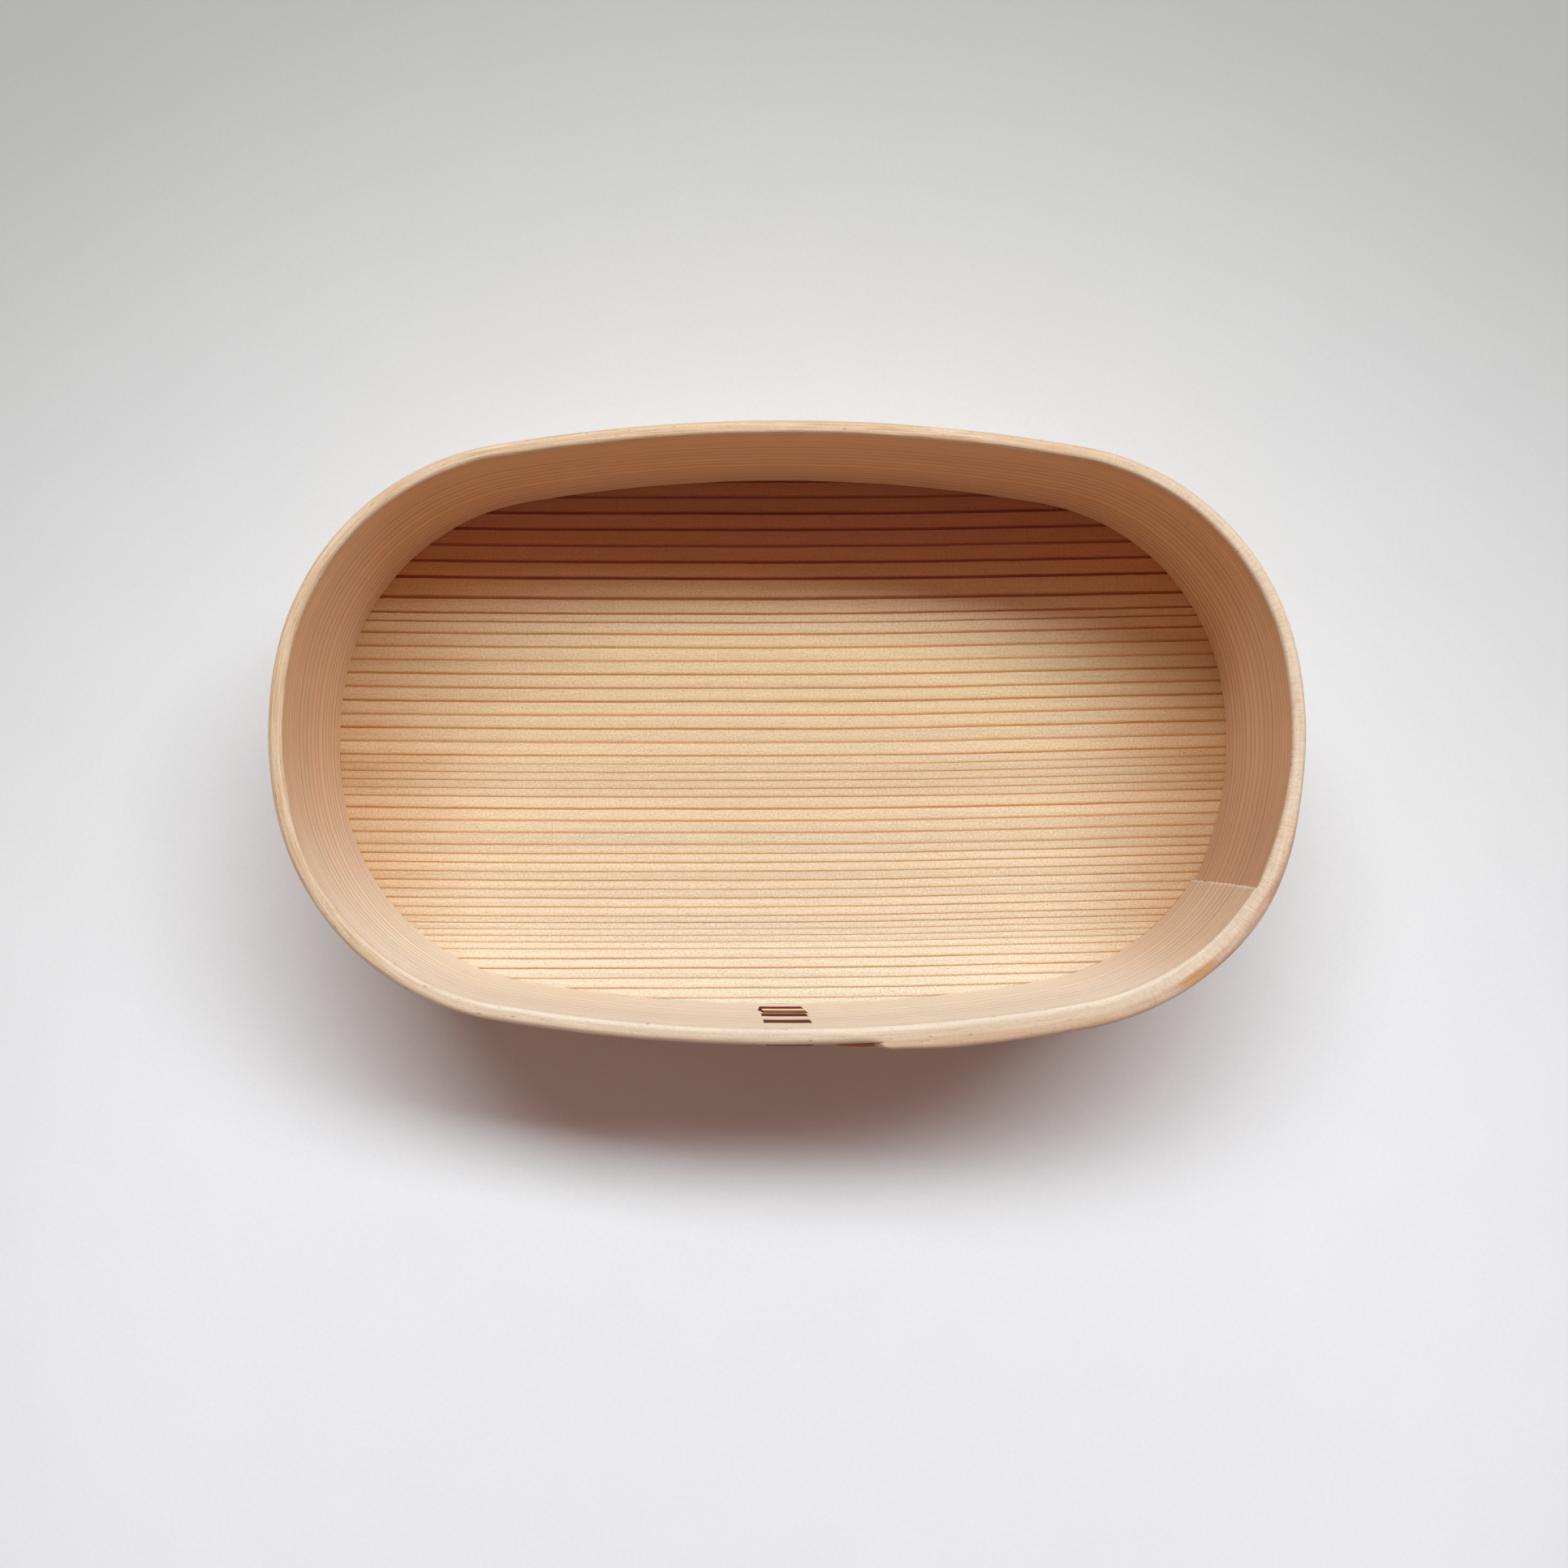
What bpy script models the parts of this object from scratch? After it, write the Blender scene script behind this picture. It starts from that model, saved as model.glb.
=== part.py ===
"""Oval bentwood lunch box: a bent cedar band, its bottom board and the bark lacing of the lap.

Metres, +Z up. The origin is the middle of the box's footprint, on the surface that it stands on.
+X runs along the oval, and the sewn front of the band faces -Y.

The band is one thin board. It starts at the front right, goes round the box clockwise as seen
from above, and ends over its own start. Both ends are planed thin and glued, and a tape of
cherry bark sews the outer end down.
"""
import math

import bmesh
import bpy
import numpy as np

# The oval, over the outside of the band where it is a single layer
BOX_LENGTH = 0.1900
BOX_WIDTH = 0.1144
END_RADIUS = 0.0740
CORNER_RADIUS = 0.0488
SIDE_RADIUS = 0.3158

# The band
BAND_HEIGHT = 0.0500
WALL_FRONT = 0.0030
WALL_BACK = 0.0025
RIM_ROUND_OUT = 0.0013
RIM_ROUND_IN = 0.0008
FOOT_ROUND = 0.0005

# The lap: places run clockwise along the oval, and the lap is set out from the front's middle
NOSE_BEFORE_MIDDLE = 0.0163
LAP_LENGTH = 0.0793
LAP_PROUD = 0.0019
LAP_ROUND_IN = 0.0013
GLUE_LINE = 0.00008

# The outer layer climbs over the inner end, and is planed thin on its inner face further on
CLIMB_BEFORE_INNER_END = 0.0220
CLIMB_PAST_INNER_END = 0.0080
SCARF_FROM_INNER_END = 0.0140
SCARF_LENGTH = 0.0440

# The inner end: a thin edge, all but upright, thinner at the rim than at the floor
INNER_END_SLANT = 0.0003
INNER_END_EASE = 0.0200
FEATHER_RIM = 0.0004
FEATHER_FLOOR = 0.0007
FEATHER_LENGTH = 0.0110
FEATHER_FADE = 0.0160

# The outer end: a rounded nose at the rim, then a thinner tongue whose top is pared away
NOSE_THICKNESS = 0.00125
NOSE_TAPER = 0.0140
NOSE_DROP = 0.0026
NOSE_RUN = 0.0016
PARING_DROP = 0.0026
PARING_LENGTH = 0.0090
TONGUE_DROP = 0.0100
TONGUE_STEP = 0.0030
TONGUE_LENGTH = 0.0260
TONGUE_THICKNESS = 0.0009
TONGUE_TIP = 0.0006
TONGUE_ROUND = 0.0003

# The bottom board
BOARD_THICKNESS = 0.0040
BOARD_RECESS = 0.0010
BOARD_ROUND = 0.0003
BOARD_CLEARANCE = 0.0003
BOARD_FIT_RUN = 0.0030

# The bark tape, and the gap that it keeps to the wood
TAPE_HEIGHT = 0.0050
TAPE_THICKNESS = 0.00035
TAPE_EDGE = 0.0005
TAPE_CLEARANCE = 0.0003
TAPE_PROUD = 0.0001
BED_CLEARANCE = 0.0004

# The lacing: seven rungs, turn and turn about outside and inside, from the rim down
RUNG_LENGTH = 0.0087
FIRST_RUNG_DEPTH = 0.0067
RUNG_DROP = 0.0056
CLOSE_RUNG_DROP = 0.0032
COLUMN_PAST_MIDDLE = 0.0003
COLUMN_LEAN_SHARE = 0.031
TAIL_DEPTH = 0.0012
LIFT = 0.0007
SLANT = 0.0009
CUT_OVERRUN = 0.0015

# How finely the curves are divided
STATION_STEP = 0.0030
DETAIL_STEP = 0.0006
TOP_SEGMENTS = 4
FOOT_SEGMENTS = 2
TAPE_CORNER_SEGMENTS = 4
TAPE_RUNG_SEGMENTS = 6
PASSAGE_SEGMENTS = 3

# How close two points of the board's outline are, at most, where they are one point
WELD_DISTANCE = 0.00001

# The strip's fine step runs this far past its inner end
FINE_RUN = 0.0024

# Edges sharper than these are shaded as edges, and are eased on the board
SHARP_ANGLE_DEG = 50
EASED_ANGLE_DEG = 60

# What rounding may add to a stretch's number of steps
STEP_TOLERANCE = 1e-9

# The most of a wall's thickness that the rounding of its outer and inner edge may take
OUTER_ROUND_SHARE = 0.52
INNER_ROUND_SHARE = 0.42


def ease(x, start, end):
    """Rise smoothly from 0 at start to 1 at end."""
    t = np.clip((x - start) / (end - start), 0.0, 1.0)
    return t * t * (3.0 - 2.0 * t)


def mix(a, b, t):
    """Go from a at t = 0 to b at t = 1."""
    return a + (b - a) * t


class Oval:
    """The outline of the band: nine tangent arcs, followed clockwise from the right end."""

    def __init__(self):
        half_length = BOX_LENGTH / 2
        half_width = BOX_WIDTH / 2
        end = np.array([half_length - END_RADIUS, 0.0])
        side = np.array([0.0, half_width - SIDE_RADIUS])
        corner = self.corner_centre(end, side)
        end_turn = math.atan2(corner[1] - end[1], corner[0] - end[0])
        side_turn = math.atan2(corner[1] - side[1], corner[0] - side[0])
        corner_turn = side_turn - end_turn

        flip_x = np.array([-1.0, 1.0])
        flip_y = np.array([1.0, -1.0])
        arcs = [
            (END_RADIUS, end_turn, end),
            (CORNER_RADIUS, corner_turn, corner * flip_y),
            (SIDE_RADIUS, math.pi - 2 * side_turn, side * flip_y),
            (CORNER_RADIUS, corner_turn, -corner),
            (END_RADIUS, 2 * end_turn, end * flip_x),
            (CORNER_RADIUS, corner_turn, corner * flip_x),
            (SIDE_RADIUS, math.pi - 2 * side_turn, side),
            (CORNER_RADIUS, corner_turn, corner),
            (END_RADIUS, end_turn, end),
        ]
        self.radii = np.array([arc[0] for arc in arcs])
        self.turns = np.array([arc[1] for arc in arcs])
        self.centres = np.array([arc[2] for arc in arcs])
        self.arc_starts = np.concatenate([[0.0], np.cumsum(self.radii * self.turns)])
        self.arc_angles = np.concatenate([[0.0], np.cumsum(self.turns)])
        self.length = self.arc_starts[-1]
        self.origin = np.zeros(2)

    def corner_centre(self, end, side):
        """Find the corner arc's centre, which lies a known distance from the other two."""
        from_end = END_RADIUS - CORNER_RADIUS
        from_side = SIDE_RADIUS - CORNER_RADIUS
        across = end - side
        span = np.linalg.norm(across)
        along = across / span
        reach = (from_side**2 - from_end**2 + span**2) / (2 * span)
        rise = math.sqrt(from_side**2 - reach**2)
        return side + reach * along + rise * np.array([along[1], -along[0]])

    def normal(self, place):
        """Give the outward normal at each place along the outline."""
        arc, angle = self.locate(place)
        return np.stack([np.cos(angle), np.sin(angle)], axis=-1)

    def locate(self, place):
        """Give the arc that each place is on, and the angle of its normal."""
        wrapped = np.mod(place, self.length)
        arc = np.searchsorted(self.arc_starts, wrapped, side="right") - 1
        arc = np.clip(arc, 0, len(self.radii) - 1)
        angle = self.arc_angles[arc] + (wrapped - self.arc_starts[arc]) / self.radii[arc]
        return arc, -angle

    def points(self, place, offset, height):
        """Give the 3-D points at places along the outline, offset outward, at heights."""
        arc, angle = self.locate(place)
        normal = np.stack([np.cos(angle), np.sin(angle)], axis=-1)
        reach = self.radii[arc] + offset
        plan = self.centres[arc] + reach[..., None] * normal - self.origin
        return np.concatenate([plan, np.broadcast_to(height, reach.shape)[..., None]], axis=-1)


class Lap:
    """Where the lap's features lie along the oval, and the faces of the band's layers.

    A place runs from 0 at the right end. The first pass of the band is the inner layer of the
    lap and then the single wall; the second pass is the outer layer.
    """

    def __init__(self, oval):
        self.oval = oval
        self.middle = oval.length / 4
        self.nose = self.middle - NOSE_BEFORE_MIDDLE
        self.inner_end = self.nose - LAP_LENGTH
        self.tip = self.nose + TONGUE_LENGTH
        self.climb_start = self.inner_end - CLIMB_BEFORE_INNER_END
        self.climb_end = self.inner_end + CLIMB_PAST_INNER_END
        self.scarf_start = self.inner_end + SCARF_FROM_INNER_END
        self.scarf_end = self.scarf_start + SCARF_LENGTH
        self.pass_change = oval.length * 3 / 4

    def wall(self, place):
        """Give the band's thickness, which differs a little from front to back."""
        mean = (WALL_FRONT + WALL_BACK) / 2
        half_change = (WALL_FRONT - WALL_BACK) / 2
        return mean - half_change * self.oval.normal(place)[..., 1]

    def climb(self, place):
        """Give how far the outer layer's outer face has climbed off the oval."""
        return LAP_PROUD * ease(place, self.climb_start, self.climb_end)

    def contact(self, place):
        """Give the face between the layers; before the lap it is the wall's inner face."""
        planed = ease(place, self.scarf_start, self.scarf_end)
        return (self.climb(place) - self.wall(place)) * (1.0 - planed)

    def outer(self, place):
        """Give the outer layer's outer face: it thins to the nose, and again to the tip."""
        nose = ease(place, self.nose - NOSE_TAPER, self.nose)
        tongue = np.clip((place - self.nose) / PARING_LENGTH, 0.0, 1.0)
        run_out = np.clip((place - self.nose) / TONGUE_LENGTH, 0.0, 1.0)
        face = mix(self.climb(place), NOSE_THICKNESS, nose)
        face = mix(face, TONGUE_THICKNESS, tongue)
        return mix(face, TONGUE_TIP, run_out**2)

    def lining(self, place, height_share):
        """Give the inner layer's inner face, from its thin end to the full wall."""
        feather = mix(FEATHER_FLOOR, FEATHER_RIM, height_share)
        thin = self.contact(np.asarray(self.inner_end)) - feather
        fade_start = self.inner_end + FEATHER_LENGTH
        full = ease(place, fade_start, fade_start + FEATHER_FADE)
        return mix(thin, -self.wall(place), full)

    def top_drop(self, place):
        """Give how far the outer end's top lies below the rim: nose, paring, then tongue."""
        nose = NOSE_DROP * ease(place, self.nose, self.nose + NOSE_RUN)
        paring = PARING_DROP * np.clip((place - self.nose) / PARING_LENGTH, 0.0, 1.0)
        step_start = self.nose + PARING_LENGTH - TONGUE_STEP / 2
        rest = TONGUE_DROP - NOSE_DROP - PARING_DROP
        return nose + paring + rest * ease(place, step_start, step_start + TONGUE_STEP)

    def inner_outline(self, place):
        """Give the innermost face near the floor, eased into the step at the inner end."""
        board_top_share = (BOARD_RECESS + BOARD_THICKNESS) / BAND_HEIGHT
        step = self.inner_end + INNER_END_SLANT * (1.0 - board_top_share) - BOARD_CLEARANCE
        inner = ease(place, step - BOARD_FIT_RUN, step)
        return mix(self.contact(place), self.lining(place, 0.0), inner)


def spaced(start, end, step):
    """Divide a stretch evenly into pieces no longer than step."""
    count = max(1, math.ceil((end - start) / step - STEP_TOLERANCE))
    return np.linspace(start, end, count + 1)


def band_stations(lap):
    """Give the strip's stations: a fine step at both of its ends, and a plain step between."""
    length = lap.oval.length
    fine_end = lap.inner_end + FINE_RUN
    nose = length + lap.nose
    stretches = [
        spaced(lap.inner_end, fine_end, DETAIL_STEP),
        spaced(fine_end, nose - STATION_STEP, STATION_STEP),
        spaced(nose - STATION_STEP, nose, 2 * DETAIL_STEP),
        spaced(nose, nose + NOSE_RUN, DETAIL_STEP / 2),
        spaced(nose + NOSE_RUN, nose + PARING_LENGTH + TONGUE_STEP, 2 * DETAIL_STEP),
        spaced(nose + PARING_LENGTH + TONGUE_STEP, length + lap.tip, STATION_STEP),
    ]
    joined = [stretches[0]] + [stretch[1:] for stretch in stretches[1:]]
    return np.concatenate(joined)


def band_section():
    """Give the section's points as corner weights.

    Each row holds: which side (1 outer, 0 inner), which end (1 top, 0 foot), and how far the
    point lies in from the corner along the thickness and along the height, as shares of the
    rounding.
    """
    rows = []
    for side, top, segments, rising in ((1, 0, FOOT_SEGMENTS, True), (1, 1, TOP_SEGMENTS, False),
                                        (0, 1, TOP_SEGMENTS, True), (0, 0, FOOT_SEGMENTS, False)):
        turn = np.linspace(0.0, math.pi / 2, segments + 1)
        inset = 1.0 - np.sin(turn) if rising else 1.0 - np.cos(turn)
        depth = 1.0 - np.cos(turn) if rising else 1.0 - np.sin(turn)
        rows += [(side, top, a, b) for a, b in zip(inset, depth)]
    return np.array(rows)


def band_grid(lap):
    """Place every section point of the band at every station, as a grid of 3-D points."""
    section = band_section()
    on_outer = section[:, 0] > 0.5
    on_top = section[:, 1] > 0.5
    height_share = section[:, 1][None, :]
    station = band_stations(lap)[:, None]

    slant_left = 1.0 - ease(station, lap.inner_end, lap.inner_end + INNER_END_EASE)
    run = station + INNER_END_SLANT * (1.0 - height_share) * slant_left
    second = run >= lap.pass_change
    place = np.where(second, run - lap.oval.length, run)

    glued = 1.0 - ease(place, lap.tip, lap.tip + NOSE_TAPER)
    first_outer = lap.contact(place) - GLUE_LINE * glued
    outer = np.where(second, lap.outer(place), first_outer)
    inner = np.where(second, lap.contact(place), lap.lining(place, height_share))
    top = BAND_HEIGHT - np.where(second, lap.top_drop(place), 0.0)

    thickness = outer - inner
    covered_outside = ~second * (1.0 - ease(place, lap.nose, lap.nose + NOSE_RUN))
    covered_inside = second * ease(place, lap.inner_end - STATION_STEP, lap.inner_end)
    on_tongue = second * ease(place, lap.nose, lap.nose + NOSE_RUN)
    in_lap = ~second * (ease(place, lap.scarf_start, lap.scarf_start + FEATHER_FADE)
                        * (1.0 - ease(place, lap.nose, lap.middle)))

    rim_out = mix(RIM_ROUND_OUT, TONGUE_ROUND, on_tongue)
    rim_in = mix(RIM_ROUND_IN, LAP_ROUND_IN, in_lap)
    top_round = np.where(on_outer, rim_out, rim_in)
    wanted = np.where(on_top, top_round, FOOT_ROUND)
    limit = np.where(on_outer, OUTER_ROUND_SHARE, INNER_ROUND_SHARE) * thickness
    rounding = np.minimum(wanted, limit)
    sharp = np.where(on_outer, covered_outside, covered_inside)

    inset = section[:, 2][None, :] * rounding
    depth = section[:, 3][None, :] * rounding * (1.0 - sharp)
    offset = np.where(on_outer, outer - inset, inner + inset)
    height = np.where(on_top, top - depth, depth)
    return lap.oval.points(place, offset, height)


def loft_mesh(name, grid):
    """Skin a grid of sections into a closed mesh, with a flat cap at each end."""
    stations, ring = grid.shape[:2]
    index = np.arange(stations * ring).reshape(stations, ring)
    beside = np.roll(index, -1, axis=1)
    walls = np.stack([index[:-1], index[1:], beside[1:], beside[:-1]], axis=-1)
    faces = walls.reshape(-1, 4).tolist()
    faces.append(index[0].tolist())
    faces.append(index[-1][::-1].tolist())
    mesh = bpy.data.meshes.new(name)
    mesh.from_pydata(grid.reshape(-1, 3).tolist(), [], faces)
    outward_normals(mesh)
    return mesh


def outward_normals(mesh):
    """Turn a closed mesh's faces outward."""
    work = bmesh.new()
    work.from_mesh(mesh)
    bmesh.ops.recalc_face_normals(work, faces=work.faces[:])
    if work.calc_volume(signed=True) < 0.0:
        bmesh.ops.reverse_faces(work, faces=work.faces[:])
    work.to_mesh(mesh)
    work.free()


def shade_round(mesh):
    """Shade a mesh smooth, apart from its sharp edges."""
    mesh.shade_smooth()
    mesh.set_sharp_from_angle(angle=math.radians(SHARP_ANGLE_DEG))


def clear_scene():
    """Remove the objects that the scene starts with."""
    for thing in list(bpy.data.objects):
        bpy.data.objects.remove(thing, do_unlink=True)


def new_collection(name):
    """Make a collection in the scene."""
    collection = bpy.data.collections.new(name)
    bpy.context.scene.collection.children.link(collection)
    return collection


def add_object(name, data, collection, parent=None, location=(0.0, 0.0, 0.0)):
    """Put data in the scene as an object at a location."""
    thing = bpy.data.objects.new(name, data)
    thing.location = location
    thing.parent = parent
    collection.objects.link(thing)
    return thing


def linear(channel):
    """Turn an sRGB channel from 0 to 255 into a linear value."""
    share = channel / 255
    return share / 12.92 if share <= 0.04045 else ((share + 0.055) / 1.055) ** 2.4


def new_material(name, srgb, roughness):
    """Make a plain finish of one colour, given as 0 to 255 sRGB values."""
    material = bpy.data.materials.new(name)
    material.use_nodes = True
    shader = material.node_tree.nodes["Principled BSDF"]
    shader.inputs["Base Color"].default_value = (*[linear(c) for c in srgb], 1.0)
    shader.inputs["Roughness"].default_value = roughness
    shader.inputs["Metallic"].default_value = 0.0
    return material


def make_band(lap, collection, parent, cutters):
    """Make the bent band, and cut the lacing's slits and beds from it."""
    mesh = loft_mesh("side_band", band_grid(lap))
    mesh.materials.append(new_material("bent_cedar", (214, 184, 148), 0.55))
    shade_round(mesh)
    band = add_object("side_band", mesh, collection, parent)
    cut = band.modifiers.new("lacing_cuts", "BOOLEAN")
    cut.operation = "DIFFERENCE"
    cut.solver = "EXACT"
    cut.operand_type = "COLLECTION"
    cut.collection = cutters
    return band


def make_board(lap, collection, parent):
    """Make the bottom board: the band's inner outline, less the clearance, as a flat plate."""
    place = spaced(0.0, lap.oval.length, STATION_STEP)[:-1]
    outline = lap.oval.points(place, lap.inner_outline(place) - BOARD_CLEARANCE, 0.0)

    curve = bpy.data.curves.new("board_outline", "CURVE")
    curve.dimensions = "2D"
    curve.fill_mode = "BOTH"
    curve.extrude = BOARD_THICKNESS / 2
    spline = curve.splines.new("POLY")
    spline.points.add(len(outline) - 1)
    spline.use_cyclic_u = True
    for point, where in zip(spline.points, outline):
        point.co = (where[0], where[1], 0.0, 1.0)
    guide = add_object("board_outline", curve, collection)

    evaluated = guide.evaluated_get(bpy.context.evaluated_depsgraph_get())
    mesh = bpy.data.meshes.new_from_object(evaluated)
    mesh.name = "bottom_board"
    bpy.data.objects.remove(guide, do_unlink=True)
    work = bmesh.new()
    work.from_mesh(mesh)
    bmesh.ops.remove_doubles(work, verts=work.verts[:], dist=WELD_DISTANCE)
    bmesh.ops.recalc_face_normals(work, faces=work.faces[:])
    work.to_mesh(mesh)
    work.free()

    mesh.materials.clear()
    mesh.materials.append(new_material("board_cedar", (222, 190, 150), 0.6))
    shade_round(mesh)
    height = BOARD_RECESS + BOARD_THICKNESS / 2
    board = add_object("bottom_board", mesh, collection, parent, (0.0, 0.0, height))
    round_edges = board.modifiers.new("eased_edges", "BEVEL")
    round_edges.width = BOARD_ROUND
    round_edges.segments = 1
    round_edges.limit_method = "ANGLE"
    round_edges.angle_limit = math.radians(EASED_ANGLE_DEG)
    return board


class Lacing:
    """The route of the bark tape round the wall, and the cuts that it passes through.

    A point of the route has a place along the oval, an offset from it and a depth below the
    rim. Outer rungs run clockwise, inner rungs run back, so the tape winds round the wall.
    """

    def __init__(self, lap):
        self.lap = lap
        self.column = lap.middle + COLUMN_PAST_MIDDLE
        drops = [RUNG_DROP] * 3 + [CLOSE_RUNG_DROP] * 2 + [RUNG_DROP]
        self.depths = FIRST_RUNG_DEPTH + np.concatenate([[0.0], np.cumsum(drops)])
        self.lifted = len(self.depths) - 2
        self.slopes = np.full(len(self.depths), COLUMN_LEAN_SHARE)
        self.slopes[self.lifted] += SLANT / TAPE_HEIGHT
        self.bend = TAPE_THICKNESS / 2 + TAPE_CLEARANCE

    def is_outer(self, rung):
        """Tell whether a rung lies on the outside of the box."""
        return rung % 2 == 0

    def centre(self, depth):
        """Give the place of the column's middle, which leans a little on its way down."""
        return self.column + COLUMN_LEAN_SHARE * (depth - self.depths[1])

    def slit_place(self, rung, far):
        """Give the place of a rung's slit: far is the end that the outer rungs run to."""
        step = RUNG_LENGTH / 2 if far else -RUNG_LENGTH / 2
        return self.centre(self.depths[rung]) + step

    def offset(self, rung, place):
        """Give the offset of the tape's middle on a rung."""
        place = np.asarray(place, dtype=float)
        if not self.is_outer(rung):
            return -self.lap.wall(place) - TAPE_PROUD + TAPE_THICKNESS / 2
        on_tongue = self.depths[rung] > TONGUE_DROP
        face = self.lap.outer(place) if on_tongue else np.zeros_like(place)
        return face + TAPE_CLEARANCE + TAPE_THICKNESS / 2

    def end_of(self, rung, leaving):
        """Tell whether the tape leaves, or comes to, a rung at its far end."""
        return self.is_outer(rung) == leaving

    def corner(self, rung, leaving):
        """Give the bend between a rung and its slit, in the order that the tape runs.

        Rows hold place, offset, depth, the two parts of the tape's own normal, how far the tape
        leans clockwise for each length that it goes down, and how far its lower edge is lifted.
        """
        far = self.end_of(rung, leaving)
        slit = self.slit_place(rung, far)
        along = -1.0 if far else 1.0
        inward = -1.0 if self.is_outer(rung) else 1.0
        middle = self.offset(rung, slit)
        turn = np.linspace(0.0, math.pi / 2, TAPE_CORNER_SEGMENTS + 1)
        if not leaving:
            turn = turn[::-1]
        place = slit + along * self.bend * (1.0 - np.sin(turn))
        offset = middle + inward * self.bend * (1.0 - np.cos(turn))
        normal_place = -along * np.sin(turn)
        normal_offset = -inward * np.cos(turn)
        depth = np.full_like(turn, self.depths[rung])
        slope = np.full_like(turn, self.slopes[rung])
        lift = (LIFT if rung == self.lifted else 0.0) * np.cos(turn)
        return np.stack([place, offset, depth, normal_place, normal_offset, slope, lift], axis=-1)

    def rung(self, rung):
        """Give the straight stretch of a rung, without its two ends."""
        start = self.corner(rung, False)[-1]
        end = self.corner(rung, True)[0]
        share = np.linspace(0.0, 1.0, TAPE_RUNG_SEGMENTS + 1)[1:-1]
        rows = mix(start[None, :], end[None, :], share[:, None])
        rows[:, 1] = self.offset(rung, rows[:, 0])
        return rows

    def passage(self, rung):
        """Give the stretch through the wall after a rung, without its two ends."""
        start = self.corner(rung, True)[-1]
        end = self.corner(rung + 1, False)[0]
        share = np.linspace(0.0, 1.0, PASSAGE_SEGMENTS + 1)[1:-1]
        return mix(start[None, :], end[None, :], share[:, None])

    def tail(self, rung, leaving):
        """Give the tape's end, tucked into its blind slit."""
        last = self.corner(rung, leaving)[-1 if leaving else 0].copy()
        last[1] = -TAIL_DEPTH
        return last[None, :]

    def route(self):
        """Join tails, bends and rungs into the tape's whole route."""
        last = len(self.depths) - 1
        rows = [self.tail(0, False)]
        for rung in range(last + 1):
            rows += [self.corner(rung, False), self.rung(rung), self.corner(rung, True)]
            rows.append(self.passage(rung) if rung < last else self.tail(last, True))
        return np.concatenate(rows)

    def grid(self):
        """Sweep the tape's flat section along its route; the lifted rung leans off the wall."""
        half_height = TAPE_HEIGHT / 2
        half_thickness = TAPE_THICKNESS / 2
        flat_height = half_height - TAPE_EDGE
        edge = half_thickness / 2
        across = np.array([-edge, -half_thickness, -half_thickness, -edge,
                           edge, half_thickness, half_thickness, edge])
        upward = np.array([-half_height, -flat_height, flat_height, half_height,
                           half_height, flat_height, -flat_height, -half_height])
        place, offset, depth, normal_place, normal_offset, slope, lift = self.route().T[:, :, None]
        low_share = 0.5 - upward / TAPE_HEIGHT
        where = place + normal_place * across - slope * upward
        out = offset + normal_offset * across - lift * low_share
        return self.lap.oval.points(where, out, BAND_HEIGHT - depth + upward)

    def slit_end(self, rung, far):
        """Give a slit's mouth where the bend ends, as a row of place, offset, depth and lean."""
        place = self.slit_place(rung, far)
        inward = -1.0 if self.is_outer(rung) else 1.0
        offset = self.offset(rung, place) + inward * self.bend
        return np.array([place, offset, self.depths[rung], self.slopes[rung]])

    def slit_ends(self, upper, lower):
        """Give the two ends of the slit between two rungs, run on past both faces."""
        far = self.end_of(upper, True)
        start = self.slit_end(upper, far)
        end = self.slit_end(lower, far)
        overrun = (end - start) * (CUT_OVERRUN / abs(end[1] - start[1]))
        return start - overrun, end + overrun

    def blind_ends(self, rung, far):
        """Give the two ends of a blind slit, from past the outer face to beyond the tail."""
        start = self.slit_end(rung, far)
        end = start.copy()
        start[1] += CUT_OVERRUN
        end[1] = -TAIL_DEPTH - TAPE_CLEARANCE
        return start, end

    def bed_ends(self, rung):
        """Give the two ends of the bed that a rung lies in, out past the wall's inner face."""
        place = self.centre(self.depths[rung])
        floor = self.offset(rung, place) + self.bend
        start = np.array([place, floor, self.depths[rung], self.slopes[rung]])
        end = start.copy()
        end[1] -= self.bend + CUT_OVERRUN
        return start, end

    def cut_block(self, name, ends, width, clearance, collection):
        """Bend a cube into a block between two mouths, clear of the tape above and below it."""
        start, end = ends
        height = TAPE_HEIGHT + 2 * clearance
        work = bmesh.new()
        bmesh.ops.create_cube(work, size=1.0)
        through = [edge for edge in work.edges if edge.verts[0].co.y != edge.verts[1].co.y]
        bmesh.ops.subdivide_edges(work, edges=through, cuts=PASSAGE_SEGMENTS - 1)
        corners = np.array([vertex.co for vertex in work.verts])
        rows = mix(start[None, :], end[None, :], corners[:, 1:2] + 0.5)
        upward = corners[:, 2] * height
        place = rows[:, 0] + corners[:, 0] * width - rows[:, 3] * upward
        moved = self.lap.oval.points(place, rows[:, 1], BAND_HEIGHT - rows[:, 2] + upward)
        for vertex, where in zip(work.verts, moved):
            vertex.co = where
        mesh = bpy.data.meshes.new(name)
        work.to_mesh(mesh)
        work.free()
        outward_normals(mesh)
        cutter = add_object(name, mesh, collection)
        cutter.hide_render = True
        cutter.display_type = "WIRE"

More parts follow.
